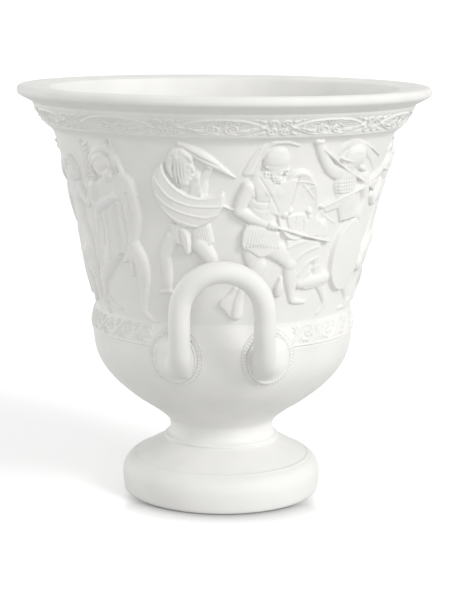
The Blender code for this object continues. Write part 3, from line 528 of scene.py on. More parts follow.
def hoplite(f):
    """Helmeted fighter with one arm flung up and a large plain shield on the other."""
    f.limb([(10.5, 225.5), (24.5, 211.5), (26, 200)], [14, 12, 7.5], 0.2, 0.5)
    f.limb([(31, 197), (13.5, 197)], [6, 3], 0.2)
    f.limb([(38.5, 239), (66.5, 218.5), (64.5, 200)], [17, 14, 8], 0.4)
    f.limb([(64, 196), (58, 194)], [6, 3], 0.2)
    f.limb([(-21.5, 325.5), (-17.5, 315), (-12.5, 304)], [32, 28, 26], 1.0, 0.28)
    f.skirt([(-30.5, 308.5), (-6.5, 310), (5.5, 288), (-18, 285.5)], 8, 4.4, 0.9)
    # corslet in small scales
    f.sheet([(-36, 328.5), (-19, 330), (-11.5, 314.5), (-30.5, 312)], 5.4, 2.0)
    for k in range(5):
        f.line([(-35, 326.5), (-16.5, 327)] + np.array([0.0, -3.4 * k]), 1.4, -0.7)
    for k in range(6):
        f.line([(-33.5, 329), (-28, 313)] + np.array([3.6 * k, 0.0]), 1.3, -0.5)
    # raised arm and its spear
    f.limb([(-67.5, 362.5), (-58.5, 350), (-48.5, 339.5)], [9, 10, 11], 1.6, 0.55)
    f.limb([(-48, 338.5), (-38, 334), (-25, 330.5)], [11, 13, 16], 1.4, 0.45)
    f.ball((-69, 364), 4.8, 4, 4.8)
    # crested helmet over the face
    f.limb([(-40, 351), (-36, 356.5), (-24, 359.5), (-7, 355), (12, 344.5), (25.5, 332)],
           [3, 7, 9, 9, 7, 2], 0.8, 0.2)
    f.line([(-36.5, 351.5), (-29.5, 356.5), (-16.5, 355.5), (1, 347.5)], 1.6, -0.7)
    f.ball((-23, 338.5), 8, 8.5, 5.8)
    f.limb([(-33, 345.5), (-32.5, 341)], [2.2, 3.0], 4.6)
    f.line([(-31.5, 344.5), (-25.5, 344.5)], 1.5, -0.9)
    f.line([(-29.5, 338), (-23.5, 337.5)], 1.3, -0.8)
    f.ball((-17, 347), 15, 11.5, 7.4)
    f.limb([(-35.5, 346.5), (-24, 344), (-8.5, 343.5)], [2.2, 2.8, 2.2], 6.0)
    f.line([(-30.5, 350.5), (-22.5, 353), (-9.5, 351)], 1.4, 0.5)
    f.limb([(-5, 336.5), (6, 332.5), (15.5, 325)], [5, 5, 3], 2.0)
    f.limb([(-5.5, 358.5), (30, 345)], [1.8, 1.8], 1.4)
    f.limb([(-61.5, 356.5), (-26, 336), (31, 312)], [1.8, 3.0, 1.8], 4.6)
    # shield arm with its sharp elbow, and the big plain shield
    f.limb([(-13, 309.5), (-28, 303.5), (-39, 298.5)], [15, 12, 5], 1.4, 0.25)
    f.line([(-44.5, 297.5), (-38, 303.5), (-29, 307.5)], 1.7, 0.8)
    f.line([(-44.5, 296.5), (-35.5, 291), (-23.5, 285)], 1.8, 0.9)
    f.limb([(32.5, 322), (-14, 312.5), (-47, 302.5)], [2.2, 2.4, 2.2], 5.2)
    f.limb([(-40, 284.5), (-40, 273.5)], [11, 13], 3.4, 0.15)
    f.limb([(7, 327), (17, 306.5), (12.5, 290)], [14, 13, 12], 2.0, 0.5)
    f.boss((3, 252), 25, 36, 1.2, 5.8)


def cloaked_figure(f):
    """Heavily cloaked standing figure, one hand at the breast, the other hanging."""
    f.limb([(0, 257), (-13, 241.5), (-25, 227), (-27.5, 213)], [20, 18, 13, 7], 1.0, 0.45)
    f.limb([(-27.5, 213), (-31.5, 200), (-26.5, 192)], [6, 7, 4], 1.0)
    f.limb([(-22.5, 207.5), (-15.5, 202), (-4, 199)], [5, 5.5, 3.5], 0.8)
    f.limb([(26, 265.5), (32.5, 251), (34, 238), (30.5, 222), (26, 201)], [18, 17, 14.5, 11, 6.5], 1.4, 0.45)
    f.limb([(26.5, 200), (32.5, 194), (41, 190)], [7, 5.5, 2.5], 0.8)
    # cloak over the body, in long falling folds
    f.sheet([(-15, 316.5), (-3, 325), (13.5, 330), (30, 333.5), (39, 329.5), (42.5, 317.5), (41.5, 302.5),
             (38, 284.5), (29.5, 264), (19, 247.5), (11, 246), (15, 257), (5.5, 251), (-9.5, 242),
             (-27.5, 235.5), (-29, 253), (-24.5, 283)], 4.4, 2.6)
    f.line([(19, 303.5), (20, 286), (20.5, 261.5)], 2.6, 1.5)
    f.line([(9.5, 300), (9.5, 279), (9.5, 256)], 2.6, 1.5)
    f.line([(-2, 293), (-1, 274), (-3, 250)], 2.6, 1.4)
    f.line([(-13, 292), (-15, 268.5), (-17.5, 243)], 3.0, 1.2)
    f.line([(26, 303.5), (27, 286.5), (26, 269.5)], 2.6, 1.0)
    f.line([(14.5, 302), (14.5, 281.5), (15, 259)], 1.8, -1.5)
    f.line([(23, 306), (23, 286), (23, 269), (14.5, 251)], 1.6, -1.5)
    f.line([(32.5, 317), (31.5, 303), (32, 283), (30.5, 270)], 1.6, -1.4)
    f.line([(-8, 293.5), (-6.5, 279), (-7.5, 262)], 1.8, -1.4)
    f.line([(4, 296.5), (-1, 277)], 1.8, -0.8)
    f.line([(-17.5, 270), (-21, 254), (-24, 240)], 2.4, -1.6)
    f.line([(-13, 313), (-20, 288), (-23, 267.5)], 2.4, 0.9)
    # cloak drawn over the head, its edge falling to the shoulder
    f.limb([(23, 364), (24.5, 352.5), (27.5, 339.5), (30, 329.5)], [2.2, 4.6, 5.6, 5.6], 1.8)
    f.limb([(28, 330.5), (34.5, 325.5), (37.5, 313.5)], [7, 11, 12], 2.0)
    f.limb([(20.5, 363), (20.5, 351), (22, 337.5), (23, 319)], [1.6, 3, 3.6, 2.6], 3.2)
    f.skirt([(29, 330.5), (40, 328.5), (41.5, 314), (27.5, 314.5)], 6, 6.6, 0.8)
    # hanging arm with the cloak's ends in the hand
    f.limb([(36, 317), (38, 301.5), (35.5, 285.5), (29, 269)], [12, 11.5, 10.5, 8], 3.2, 0.5)
    f.ball((28.5, 265), 5, 5.5, 5.8)
    f.limb([(24.5, 267.5), (22, 252), (20.5, 235.5)], [8, 6.5, 4], 1.8)
    f.limb([(30, 262), (28, 248.5), (27, 234)], [7, 5.5, 2.5], 2.0)
    f.limb([(-11.5, 316.5), (-13.5, 305), (-9.5, 298)], [15, 14, 13], 2.4)
    f.limb([(-9.5, 298), (5.5, 304.5), (15.5, 309.5)], [13, 12, 9.5], 3.4, 0.6)
    f.ball((17.5, 311), 5.5, 5.5, 7.6)
    # bowed head in its hood
    f.ball((6.5, 340), 14, 14, 7.0)
    f.ball((12, 330), 7.5, 8.5, 7.0)
    f.limb([(-10, 341.5), (2.5, 351), (16, 355), (22.5, 349.5), (24, 339.5)], [5, 8.5, 8.5, 7.5, 4], 2.8)
    f.limb([(-6.5, 339), (6.5, 347.5), (15, 346), (17.5, 338)], [4, 6, 6, 3], 5.2)
    f.line([(8.5, 334), (15.5, 336.5), (22, 333.5)], 3.4, -2.0)
    f.limb([(16, 332.5), (16, 328.5)], [2.4, 3.0], 6.0)
    for k in range(5):
        f.ball((-10, 336.5) + np.array([1.2 * (k % 2), -2.9 * k]), 2.2, 2.0, 6.2)


def youth(f):
    """Slim standing man, cloth round his hips, holding a leafy branch upright."""
    f.limb([(-2, 252), (-6, 232), (-8, 207)], [18, 14, 8], 0.6)
    f.limb([(-8, 203), (-17, 199)], [7, 4], 0.6)
    f.limb([(8, 252), (12, 230), (9, 207)], [18, 13, 8], 1.2)
    f.limb([(9, 203), (18, 199)], [7, 4], 1.0)
    f.sheet([(-14, 276), (15, 279), (20, 242), (14, 222), (3, 230), (-12, 234)], 4.6, 3.0)
    f.line([(-12, 270), (2, 256), (16, 232)], 3.0, 1.2)
    f.line([(-12, 260), (0, 246), (12, 228)], 3.0, 1.0)
    f.line([(-6, 276), (9, 262), (18, 244)], 3.0, 1.2)
    f.limb([(3, 312), (0, 290), (0, 272)], [32, 25, 25], 1.2, 0.3)
    f.ball((-4, 306), 9.5, 8.5, 6.2)
    f.ball((9, 306), 9, 8.5, 6.2)
    f.ball((2, 288), 10, 11, 5.4)
    f.limb([(-13, 312), (-21, 296), (-15, 279)], [12, 10, 7.5], 1.2)
    f.limb([(17, 312), (29, 300), (36, 313)], [12, 10, 7.5], 2.0)
    f.ball((36, 315), 5, 4.5, 6.6)
    f.limb([(28, 266), (36, 314), (45, 352)], [2.4, 3.0, 2.0], 2.4)
    for k in range(9):
        reach = 4.2 * k
        f.limb([(37.5 + 0.22 * reach, 321 + reach), (33 + 0.22 * reach, 326 + reach)], [3.4, 1.6], 1.4)
        f.limb([(38 + 0.22 * reach, 322 + reach), (43.5 + 0.22 * reach, 324 + reach)], [3.4, 1.6], 1.4)
    f.limb([(9, 316), (9, 321)], [12, 11], 1.6)
    f.ball((10, 328), 9.5, 11.5, 7.6)
    f.limb([(17, 333), (9, 340), (0, 334), (2, 322)], [7, 9, 9, 7], 3.2)
    f.ball((16, 326), 4.5, 6.5, 6.8)
    for k in range(12):
        f.ball((2.5 + 3.0 * (k % 4), 339 - 3.6 * (k // 4) + 1.2 * (k % 2)), 1.9, 1.8, 7.6)


def spearman(f):
    """Crested fighter striding with a long spear levelled over his shoulder."""
    f.limb([(8, 262), (17, 240), (26, 223), (33, 207)], [18, 14, 12, 7], 0.4)
    f.limb([(33, 203), (26, 200)], [7, 4], 0.4)
    f.limb([(-6, 262), (-20, 246), (-18, 226), (-21, 208)], [19, 14, 12, 7.5], 1.4)
    f.limb([(-21, 204), (-32, 200)], [7, 4], 1.2)
    f.limb([(2, 312), (1, 292), (0, 272)], [32, 27, 26], 1.2, 0.3)
    f.ball((-6, 306), 10, 9, 6.4)
    f.ball((9, 306), 10, 9, 6.4)
    f.skirt([(-13, 279), (14, 279), (20, 251), (-19, 251)], 12, 5.6, 0.9)
    f.limb([(-13, 311), (-24, 300), (-33, 306)], [12, 10, 8], 1.4)
    f.limb([(2, 316), (0, 322)], [12, 12], 1.6)
    f.ball((-3, 328), 9.5, 11, 7.4)
    f.limb([(-13, 347), (-2, 351), (11, 345), (19, 331), (21, 320)], [3, 7, 9, 8, 3], 1.4, 0.5)
    f.ball((-1, 335), 12.5, 11, 8.4)
    f.limb([(-13, 330), (-1, 328), (10, 330)], [3, 3.4, 3], 6.2)
    f.limb([(14, 313), (27, 322), (14, 336)], [13, 11, 8], 2.2)
    f.limb([(30, 351), (-20, 333), (-95, 309)], [2.4, 3.0, 1.8], 4.2)
    f.ball((12, 344), 5.5, 5, 8.4)


# Azimuth in degrees, facing (-1 is mirrored) and figure; how far a figure reaches from its own azimuth
SEEN_CAST = (
    (-46, 1, cloaked_figure),
    (-13, 1, shield_bearer),
    (15, 1, swordsman),
    (34, 1, fallen_fighter),
    (54, 1, hoplite),
)
SIDE_CAST = ((-67, 1, youth), (80, 1, spearman), (103, -1, youth), (258, 1, spearman))
BACK_CAST = tuple((180 - azimuth, -side, carve) for azimuth, side, carve in SEEN_CAST)
REACH = 47.0


def ground_radius(level):
    """Radius in mm of the plain frieze ground at an array of heights."""
    return np.interp(level, GROUND[:, 1], GROUND[:, 0])


def carving(angle, level):
    """Height of the carving in mm at each angle and height: the highest of the figures there."""
    radius = ground_radius(level)
    height = np.zeros_like(level)
    for azimuth, side, carve in SEEN_CAST + SIDE_CAST + BACK_CAST:
        turn = (angle - math.radians(azimuth) + np.pi) % (2.0 * np.pi) - np.pi
        near = np.flatnonzero(np.abs(turn[0]) < math.radians(REACH))
        if not len(near):
            continue
        span = slice(near[0], near[-1] + 1)
        figure = Figure(side * turn[:, span] * radius[:, span], level[:, span])
        carve(figure)
        height[:, span] = np.maximum(height[:, span], DEPTH * figure.h)
    above_foot = np.clip((level - FRIEZE_FOOT) / EDGE, 0.0, 1.0)
    below_head = np.clip((FRIEZE_HEAD - HEAD_MARGIN - level) / EDGE, 0.0, 1.0)
    return height * above_foot * below_head


def frieze_panel(name, start, end, columns):
    """One stretch of the frieze between two azimuths in degrees."""
    angles = np.radians(np.linspace(start, end, columns + 1))
    levels = np.linspace(FRIEZE_FOOT - FOOT_OVERLAP, FRIEZE_HEAD, FRIEZE_ROWS + 1)
    angle, level = np.meshgrid(angles, levels)
    out = carving(angle, level)
    radius = ground_radius(level) + out * math.cos(LEAN)
    add_grid(name, round_axis(radius, angle, level - out * math.sin(LEAN)), wrap=False)


frieze_panel("frieze_front_left", -90, 0, FRONT_COLUMNS)
frieze_panel("frieze_front_right", 0, 90, FRONT_COLUMNS)
frieze_panel("frieze_back_right", 90, 180, BACK_COLUMNS)
frieze_panel("frieze_back_left", 180, 270, BACK_COLUMNS)


# Upper ornament band
# A leaning band under the lip, cast with the vessel: two raised stems cross and part eleven times
# round it. Each lens between them holds a palmette on two large volutes, and four small volutes
# stand about each crossing.
UPPER_REPEATS = 11
UPPER_COLUMNS = 180
UPPER_EDGE = smooth([(169.6, 366.3), (172.4, 367.4), (174.2, 368.8), (174.9, 370.4)], 2)
UPPER_FACE = smooth([(175.4, 371.6), (177.2, 374.7), (180, 379.4), (183, 383.5), (184.8, 385.9)], 8)
UPPER_FILLET = smooth([(185.4, 386.9), (185.9, 387.9), (185.7, 388.9)], 2)
UPPER_MIDDLE = 378.2
UPPER_RADIUS = 180.0
UPPER_FIRST = -17.0
ORNAMENT_HALF = 9.4


def spiral(centre, half_x, half_z, start, turns, points=18):
    """Volute winding inward from its start angle in degrees; negative turns wind clockwise."""
    share = np.linspace(0.0, 1.0, points)
    angle = np.radians(start) + 2.0 * np.pi * turns * share
    size = 1.0 - 0.8 * share
    return np.stack([half_x * size * np.cos(angle), half_z * size * np.sin(angle)], 1) + centre


def upper_motif(band, half):
    """One repeat of the upper band from node to node, with u = 0 in the middle of the lens."""
    for side in (1, -1):
        for up in (1, -1):
            # Stem from the lens over the crossing into a volute of the node
            wave = [(1.0, 8.3), (9.0, 8.1), (19.0, 6.8), (28.0, 4.1), (35.0, 1.4), (41.0, -1.9)]
            band.line([(side * u, up * v) for u, v in wave], 1.9, 1.5)
            eye = (side * (half - 6.6), -4.8 * up)
            band.line(spiral(eye, 5.2, 3.5, 90 * up, -1.35 * up * side), 1.7, 1.5)
            band.ball(eye, 1.1, 1.0, 1.3)
            # Leaves in the corners outside the lens
            for root, v, tip, far_v, widths, lift in ((13.5, 6.0, 18.5, 7.6, (3.0, 0.9), 0.5),
                                                      (20.5, 7.6, 24.5, 8.7, (1.8, 0.6), 0.3)):
                band.limb([(side * (half - root), v * up), (side * (half - tip), far_v * up)],
                          widths, lift, 0.8)
            # Leaf that follows the stem on its inner side
            band.line([(side * 15.0, 4.2 * up), (side * 22.0, 3.6 * up), (side * 31.0, 1.2 * up)], 1.4, 1.1)
        # Large volute beside the lens's middle, its eye, and a smaller one above it
        band.line(spiral((7.6 * side, -2.4), 6.8, 4.8, 90, -1.7 * side, 26), 1.7, 1.6)
        band.ball((7.6 * side, -2.4), 1.3, 1.1, 1.5)
        band.line(spiral((12.0 * side, 4.7), 4.2, 2.6, 90 + 110 * side, -1.1 * side), 1.4, 1.3)
        # Leaves of the palmette
        for lean, reach in ((2.4, 5.6), (5.2, 4.8)):
            band.limb([(side * 0.5 * lean, 1.6), (side * lean, 1.6 + reach)], [1.0, 2.2], 0.5, 0.8)
        # Fan of thin leaves towards the node
        for rise, start, reach in ((1.8, 17.5, 29), (-0.4, 16.5, 36), (-2.8, 16, 29), (-5.2, 15, 24)):
            band.line([(side * start, rise), (side * reach, 0.6 * rise)], 1.3, 1.2)
        # Bar that joins the volutes of the node
        band.limb([(side * (half - 0.4), -3.4), (side * (half - 0.4), 3.4)], [1.6, 1.6], 0.2, 0.8)
    band.ball((0.0, 8.0), 1.8, 1.5, 1.3)
    band.ball((0.0, -7.6), 1.2, 2.2, 1.0)


def ring_band(name, profile, height, first):
    """Ring of band: a profile raised by a map of heights in mm, one row for each of its points."""
    columns = height.shape[1]
    run = np.gradient(profile, axis=0)
    run /= np.linalg.norm(run, axis=1)[:, None]
    radius = profile[:, :1] + height * run[:, 1:]
    level = profile[:, 1:] - height * run[:, :1]
    angle = 2.0 * np.pi * np.arange(columns) / columns + math.radians(first)
    add_grid(name, round_axis(radius, angle, level), wrap=True)


def lengths(profile):
    """Distance along a profile from its start to each point."""
    return np.concatenate([[0.0], np.cumsum(np.hypot(*np.diff(profile, axis=0).T))])


upper_profile = np.concatenate([UPPER_EDGE, UPPER_FACE, UPPER_FILLET])
upper_across = lengths(upper_profile)
upper_across -= np.interp(UPPER_MIDDLE, upper_profile[:, 1], upper_across)
upper_half = math.pi * UPPER_RADIUS / UPPER_REPEATS
around = upper_half * (2.0 * np.arange(UPPER_COLUMNS) / UPPER_COLUMNS - 1.0)
tile = Figure(*np.meshgrid(around, upper_across))
upper_motif(tile, upper_half)
on_face = np.clip(ORNAMENT_HALF - np.abs(upper_across), 0.0, 1.0)[:, None]
ring_band("upper_band", upper_profile, np.tile(tile.h * on_face, UPPER_REPEATS), UPPER_FIRST)


# Lower ornament band
# The flaring foot of the frieze, cast with the vessel, with a running scroll: each ribbon rises
# slanting, curls over a rosette and sends leaves into the corners. A thin line edges it below.
# The band is left smooth at the handles.
LOWER_SCROLLS = 30
SCROLL_COLUMNS = 40
LOWER_FIRST = -49.1
LOWER_RADIUS = 128.0
LOWER_PROFILE = smooth([(128.2, 160.5), (128.8, 164.2), (129.2, 167.2), (129.5, 169.4), (129.4, 171.6),
                        (129.1, 174.6), (128.5, 178.6), (127.6, 182.6), (126.7, 186.6), (126.2, 189.4),
                        (126.1, 190.6), (125.2, 191.6)], 5)
LOWER_MIDDLE = 179.5
PLAIN_HALF = 30.0
PLAIN_FADE = 1.2
ORNAMENT_FADE = 0.8
# Thin line below the scrolls and the groove under it: place, height and width
EDGE_LINE = (-10.3, 0.9, 0.7)
EDGE_GROOVE = (-11.9, -0.5, 0.7)


def scroll(band):
    """One repeat of the running scroll."""
    rise = [(-12.5, -8.2), (-8.4, -5.8), (-4.4, -1.8), (-0.4, 2.8), (3.8, 6.6), (8.4, 8.4), (12.6, 7.2),
            (15.0, 3.6)]
    band.limb(rise, [1.4, 2.8, 3.4, 3.4, 3.2, 3.0, 2.6, 1.4], 0.9, 0.5)
    band.line(rise, 1.0, -0.8)
    # Rosette under the curl: ring, petals and a sunk eye
    band.line(spiral((8.2, 0.6), 5.2, 5.0, 80, -0.9), 1.6, 1.4)
    for k in range(7):
        turn = 2.0 * math.pi * k / 7
        band.ball((8.2 + 2.5 * math.cos(turn), 0.6 + 2.5 * math.sin(turn)), 1.2, 1.2, 1.7)
    band.line([(8.2, 0.6), (8.3, 0.7)], 1.6, -0.9)
    # Leaves in the corners, above the ribbon's root and below its curl
    for u, v, far_u, far_v in ((-5.8, 2.6, -9.0, 3.6), (-5.2, 4.8, -8.0, 7.4), (-3.0, 6.0, -3.6, 8.8),
                               (0.6, -3.4, -2.8, -5.4), (1.4, -5.0, -1.2, -7.6), (3.6, -5.6, 3.6, -8.2),
                               (6.0, -5.6, 8.6, -8.0), (13.6, -1.6, 14.6, 0.8)):
        band.limb([(u, v), (far_u, far_v)], [2.4, 0.7], 0.8, 0.8)


lower_across = lengths(LOWER_PROFILE)
lower_across -= np.interp(LOWER_MIDDLE, LOWER_PROFILE[:, 1], lower_across)
scroll_length = 2.0 * math.pi * LOWER_RADIUS / LOWER_SCROLLS
around = scroll_length * (np.arange(3 * SCROLL_COLUMNS) / SCROLL_COLUMNS - 1.5)
tile = Figure(*np.meshgrid(around, lower_across))
for number in (-1, 0, 1):
    curl = Figure(tile.x - number * scroll_length, tile.z)
    scroll(curl)
    tile.h = np.maximum(tile.h, curl.h)
lower_height = tile.h[:, SCROLL_COLUMNS:2 * SCROLL_COLUMNS]
lower_height *= np.clip((ORNAMENT_HALF - np.abs(lower_across)) / ORNAMENT_FADE, 0.0, 1.0)[:, None]
for middle, height, width in (EDGE_LINE, EDGE_GROOVE):
    lower_height += height * np.exp(-((lower_across - middle) / width) ** 2)[:, None]
lower_height = np.tile(lower_height, LOWER_SCROLLS)
columns = lower_height.shape[1]
azimuth = 360.0 * (np.arange(columns) / columns - 0.5 / LOWER_SCROLLS) + LOWER_FIRST
from_handle = np.abs((azimuth + 90.0) % 180.0 - 90.0)
carved = np.clip((from_handle - PLAIN_HALF) / PLAIN_FADE, 0.0, 1.0)
ring_band("lower_band", LOWER_PROFILE, lower_height * carved, azimuth[0])


# Handles
# Two upturned loops of round bar, cast on. Each end flattens and runs out into a plain oval pad on
# the bowl, which swells up to meet it. A raised line and a border of short ribs go round each pad.
HANDLE_ANGLE = 19.75
HANDLE_HALF = 38.2
ARCH_LEVEL = 211.8
ARCH_OUT = 177.6
TUBE = 10.0
SECTION_COLUMNS = 44
PAD_LEVEL = 159.0
PAD_HALF_WIDTH = 21.0
PAD_HALF_HEIGHT = 24.6
PAD_RADIUS = 127.6
PLATE_RIBS = 52
RIB_HEIGHT = 1.2
FLARE = 15.0
FOOT_RADIUS = 127.0
# Rings of a pad as shares of its half width, and those of its border in mm beyond it
PAD_RINGS = (0.1, 0.3, 0.5, 0.65, 0.78, 0.87, 0.93, 0.965, 0.985, 1.0)
BORDER_RINGS = (0.15, 0.4, 0.7, 1.0, 1.4, 2.2, 3.2, 3.8, 4.2, 4.6, 5.0, 5.4, 6.2)
# Height off the bowl on each, and how far the ribs are up
PAD_SECTION = ((0.5, 4.6), (0.87, 3.9), (0.93, 3.9), (0.965, 4.8), (0.985, 4.6), (1.0, 3.0))
BORDER_SECTION = ((0.0, 3.0), (0.15, 1.0), (0.4, 0.2), (1.0, 0.5), (4.2, 0.5), (4.6, 1.0), (5.0, 1.2),
                  (5.4, 0.8), (6.2, -1.2))
RIB_SECTION = ((0.4, 0.0), (1.0, 1.0), (3.8, 1.0), (4.2, 0.0))
skin_profile = np.concatenate([BOWL[:-4], LOWER_PROFILE])


def on_bowl(azimuth, level, out):
    """Point in mm at an azimuth in radians and a height, standing off the bowl by the given distance."""
    radius = np.interp(level, skin_profile[:, 1], skin_profile[:, 0]) + out
    return round_axis(radius, azimuth, level) / MM


def handle_sections():
    """Centre line and sections from foot to foot: x, y, z, half width, half depth and bend to the bowl."""
    keys = []
    for level, out, wide, deep in ((138.5, 0.8, 3, 1.0), (140.2, 1.4, 8, 2.2), (144, 3.0, 12, 4.2),
                                   (148.6, 6.2, 12.8, 6.8), (154, 11.6, 12.6, 8.8)):
        x, y, z = on_bowl(math.radians(HANDLE_ANGLE - 0.13 * (level - 134.0)), level, out)
        keys.append((x, y, z, wide, deep, 1.0))
    keys += [(39.4, -142.6, 161.4, 11.6, 9.7, 0.4), (38.9, -152.0, 172.2, 10.5, 9.9, 0.0),
             (38.6, -161.4, 191.4, 9.9, 9.9, 0.0)]
    for turn in (90, 67.5, 45, 22.5):
        drop = HANDLE_HALF * (1.0 - math.cos(math.radians(turn)))
        across = HANDLE_HALF * math.sin(math.radians(turn))
        keys.append((across, 0.25 * drop - ARCH_OUT, ARCH_LEVEL + HANDLE_HALF - drop, TUBE, TUBE, 0.0))
    top = (0.0, -ARCH_OUT, ARCH_LEVEL + HANDLE_HALF, TUBE, TUBE, 0.0)
    return smooth(keys + [top] + [(-k[0],) + tuple(k[1:]) for k in reversed(keys)], 5)


def loop_handle(name, turn):
    """Bar swept along its centre line; turn is 1 in front and -1 behind."""
    line = handle_sections()
    run = np.gradient(line[:, :3], axis=0)
    run /= np.linalg.norm(run, axis=1)[:, None]
    side = np.zeros_like(run)
    side[0] = (math.cos(math.radians(HANDLE_ANGLE)), math.sin(math.radians(HANDLE_ANGLE)), 0.0)
    for k in range(len(run)):
        last = side[max(k - 1, 0)]
        flat = last - np.dot(last, run[k]) * run[k]
        side[k] = flat / np.linalg.norm(flat)
    depth = np.cross(side, run)
    angle = -2.0 * np.pi * np.arange(SECTION_COLUMNS) / SECTION_COLUMNS
    across = line[:, 3:4] * np.cos(angle)
    fall = line[:, 5:6] * across ** 2 / (2.0 * FOOT_RADIUS)
    up = line[:, 4:5] * np.sin(angle) - fall
    points = line[:, None, :3] + across[..., None] * side[:, None, :] + up[..., None] * depth[:, None, :]
    points[..., :2] *= turn
    add_grid(name, points * MM, wrap=True, poles=True)


def handle_plate(name, azimuth, turn):
    """Oval pad under a handle's foot with its ridge, raised line, border of short ribs and thin edge."""
    share = np.concatenate([PAD_RINGS, np.ones(len(BORDER_RINGS))])
    beyond = np.concatenate([np.zeros(len(PAD_RINGS)), BORDER_RINGS])
    plain = np.where(beyond > 0.0, np.interp(beyond, *np.transpose(BORDER_SECTION)),
                     np.interp(share, *np.transpose(PAD_SECTION)))
    ribbed = np.interp(beyond, *np.transpose(RIB_SECTION))
    angle = -2.0 * np.pi * np.arange(4 * PLATE_RIBS) / (4 * PLATE_RIBS)
    ribs = RIB_HEIGHT * np.abs(np.cos(0.5 * PLATE_RIBS * angle))
    u = (PAD_HALF_WIDTH * share + beyond)[:, None] * np.cos(angle)
    v = (PAD_HALF_HEIGHT * share + beyond)[:, None] * np.sin(angle)
    inward = -np.sign(azimuth)
    climb = np.clip((v + PAD_HALF_HEIGHT) / (2.0 * PAD_HALF_HEIGHT), 0.0, 1.0)
    ridge = FLARE * np.sin(np.pi * climb ** 1.4) * np.exp(-((u - inward * (3.9 + 0.14 * v)) / 13.0) ** 2)
    on_pad = np.clip((0.93 - share) / 0.3, 0.0, 1.0)[:, None]
    out = plain[:, None] + ribbed[:, None] * ribs
    points = on_bowl(math.radians(azimuth) + u / PAD_RADIUS, PAD_LEVEL + v, out)
    points[..., 1] -= ridge * on_pad
    points[..., :2] *= turn
    add_grid(name, points * MM, wrap=True, poles=True)


for place, turn in (("front", 1), ("back", -1)):
    loop_handle("handle_" + place, turn)
    handle_plate("handle_plate_" + place + "_a", -HANDLE_ANGLE, turn)
    handle_plate("handle_plate_" + place + "_b", HANDLE_ANGLE, turn)


# Camera, floor and light
# Photographed from about 1.6 m, a little above the rim, on a white paper sweep in a bright room. The
# strongest soft light is at the right front and above, one is low in front and one behind on the left.
CAMERA_DISTANCE = 1.6
CAMERA_HEIGHT = 0.4913
CAMERA_SIDE = 0.00246
CAMERA_PITCH = 0.185
CAMERA_ROLL = math.radians(0.5)
SENSOR_LONG_SIDE = 36.0
FOCAL_PIXELS = 1629.8
PHOTO_LONG_SIDE = 600.0
FAR = 600.0
ROOM_LIGHT = 0.46
THROWN_BACK = "BEBEBE"
SWEEP_GLOW = 0.14
PAPER_COLOUR = "FBFBFB"
PAPER_ROUGHNESS = 0.9
FIBRE_SIZE = 3.3333
# Reach and grey of the painted contact shadow on the paper
CONTACT_REACH = 42.0
PAINTED_CONTACT_SHADOW = "808080"
# Share of open sky from which the painted contact shadow sets in and below which it is full
CONTACT_OPEN = (0.4, 0.97)
# The painted contact shadow stays in front of the one range in y and inside the other in x, both in metres
SHADE_BEHIND = (-0.075, -0.03)
SHADE_BESIDE = (0.07, 0.098)
# Name, azimuth, elevation, spread in degrees and strength; azimuth 0 is the camera's side, 90 the right
LIGHTS = (
    ("key_right", 52.0, 30.0, 22.0, 1.55),
    ("front", 3.0, 5.0, 34.0, 0.95),
    ("side_right", 80.0, 12.0, 34.0, 0.3),
    ("back_right", 125.0, 12.0, 40.0, 0.3),
    ("side_left", -85.0, 10.0, 34.0, 0.25),
    ("back_left", -118.0, 12.0, 40.0, 1.05),
    ("top_front", 15.0, 62.0, 50.0, 0.25),
    ("back_high", 180.0, 50.0, 40.0, 0.4),
)


def add_camera():
    """Camera that gives the photograph's framing."""
    data = bpy.data.cameras.new("camera")
    data.sensor_width = SENSOR_LONG_SIDE
    data.lens = FOCAL_PIXELS * SENSOR_LONG_SIDE / PHOTO_LONG_SIDE
    camera = bpy.data.objects.new("camera", data)
    camera.location = (CAMERA_SIDE, -CAMERA_DISTANCE, CAMERA_HEIGHT)
    camera.rotation_mode = "XYZ"
    look = Matrix.Rotation(math.pi / 2 - CAMERA_PITCH, 4, "X") @ Matrix.Rotation(CAMERA_ROLL, 4, "Z")
    camera.rotation_euler = look.to_euler()
    bpy.context.scene.collection.objects.link(camera)
    bpy.context.scene.camera = camera


def soft_light(name, azimuth, elevation, spread, strength):
    """Far, wide, even light from an azimuth and an elevation in degrees."""
    data = bpy.data.lights.new(name, "SUN")
    data.energy = strength
    data.angle = math.radians(spread)
    lamp = bpy.data.objects.new(name, data)
    turn = math.radians(azimuth)
    rise = math.radians(elevation)
    flat = math.cos(rise)
    toward = Vector((math.sin(turn) * flat, -math.cos(turn) * flat, math.sin(rise)))
    lamp.rotation_euler = toward.to_track_quat("Z", "Y").to_euler()
    bpy.context.scene.collection.objects.link(lamp)


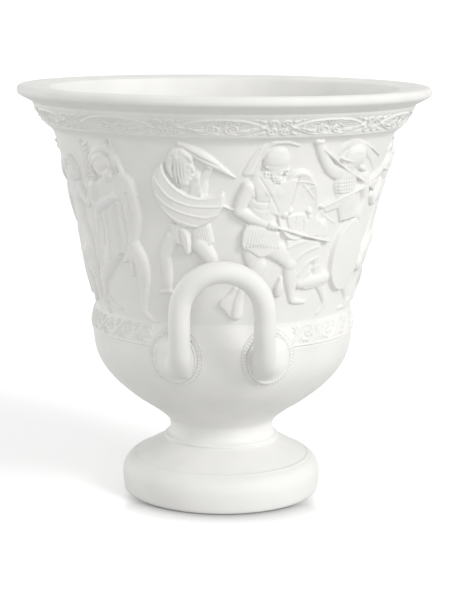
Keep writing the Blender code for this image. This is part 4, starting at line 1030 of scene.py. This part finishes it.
def floor_paint():
    """White paper sweep: it throws back only part of its light, with a painted shadow close to what stands
    on it.
    """
    material = bpy.data.materials.new("white_paper")
    material.use_nodes = True
    tree = material.node_tree
    shader = tree.nodes["Principled BSDF"]
    shader.inputs["Roughness"].default_value = PAPER_ROUGHNESS
    place = add(tree, "ShaderNodeTexCoord", {}).outputs["Object"]
    # The real fibres are too fine to show and are drawn coarser
    fibre = add(tree, "ShaderNodeTexNoise", {"Scale": 1.0 / (FIBRE_SIZE * MM), "Detail": 3.0},
                [("Vector", place)])
    paper = add(tree, "ShaderNodeMix", {"data_type": "RGBA", 6: linear(PAPER_COLOUR), 7: linear("FFFFFF")},
                [(0, fibre.outputs["Fac"])])
    # Painted contact shadow: soft dark close to the foot, only in front of it and under it
    sky = add(tree, "ShaderNodeAmbientOcclusion", {"samples": 24, "Distance": CONTACT_REACH * MM})
    contact = add(tree, "ShaderNodeMapRange", {"From Min": CONTACT_OPEN[0], "From Max": CONTACT_OPEN[1]},
                  [("Value", sky.outputs["AO"])])
    part = add(tree, "ShaderNodeSeparateXYZ", {}, [("Vector", place)])
    behind = add(tree, "ShaderNodeMapRange", {"From Min": SHADE_BEHIND[0], "From Max": SHADE_BEHIND[1]},
                 [("Value", part.outputs["Y"])])
    across = add(tree, "ShaderNodeMath", {"operation": "ABSOLUTE"}, [(0, part.outputs["X"])])
    beside = add(tree, "ShaderNodeMapRange", {"From Min": SHADE_BESIDE[0], "From Max": SHADE_BESIDE[1]},
                 [("Value", across.outputs["Value"])])
    away = add(tree, "ShaderNodeMath", {"operation": "MAXIMUM"},
               [(0, behind.outputs["Result"]), (1, beside.outputs["Result"])])
    lit = add(tree, "ShaderNodeMath", {"operation": "MAXIMUM"},
              [(0, contact.outputs["Result"]), (1, away.outputs["Value"])])
    near = add(tree, "ShaderNodeMix", {"data_type": "RGBA", 6: linear(PAINTED_CONTACT_SHADOW)},
               [(0, lit.outputs["Value"]), (7, paper.outputs[2])])
    # Light that bounces off the paper is weaker than what the camera sees
    seen = add(tree, "ShaderNodeLightPath", {})
    thrown = add(tree, "ShaderNodeMix", {"data_type": "RGBA", 7: linear(THROWN_BACK)},
                 [(0, seen.outputs["Is Diffuse Ray"]), (6, near.outputs[2])])
    tree.links.new(thrown.outputs[2], shader.inputs["Base Color"])
    tree.links.new(thrown.outputs[2], shader.inputs["Emission Color"])
    shader.inputs["Emission Strength"].default_value = SWEEP_GLOW
    return material


def add_floor():
    """Wide flat floor of white paper."""
    mesh = bpy.data.meshes.new("floor")
    corners = [(-FAR, -FAR, 0), (FAR, -FAR, 0), (FAR, FAR, 0), (-FAR, FAR, 0)]
    mesh.from_pydata(corners, [], [(0, 1, 2, 3)])
    mesh.materials.append(floor_paint())
    floor = bpy.data.objects.new("floor", mesh)
    bpy.context.scene.collection.objects.link(floor)


def add_room():
    """Even light from all round; to the camera the far wall reads white like the sweep."""
    world = bpy.data.worlds.new("bright_room")
    world.use_nodes = True
    tree = world.node_tree
    wall = tree.nodes["Background"]
    wall.inputs["Color"].default_value = linear("FFFFFF")
    seen = add(tree, "ShaderNodeLightPath", {})
    strength = add(tree, "ShaderNodeMath", {"operation": "MAXIMUM", 1: ROOM_LIGHT},
                   [(0, seen.outputs["Is Camera Ray"])])
    tree.links.new(strength.outputs["Value"], wall.inputs["Strength"])
    bpy.context.scene.world = world


add_camera()
add_floor()
for light in LIGHTS:
    soft_light(*light)
add_room()
bpy.context.scene.view_settings.view_transform = "Standard"
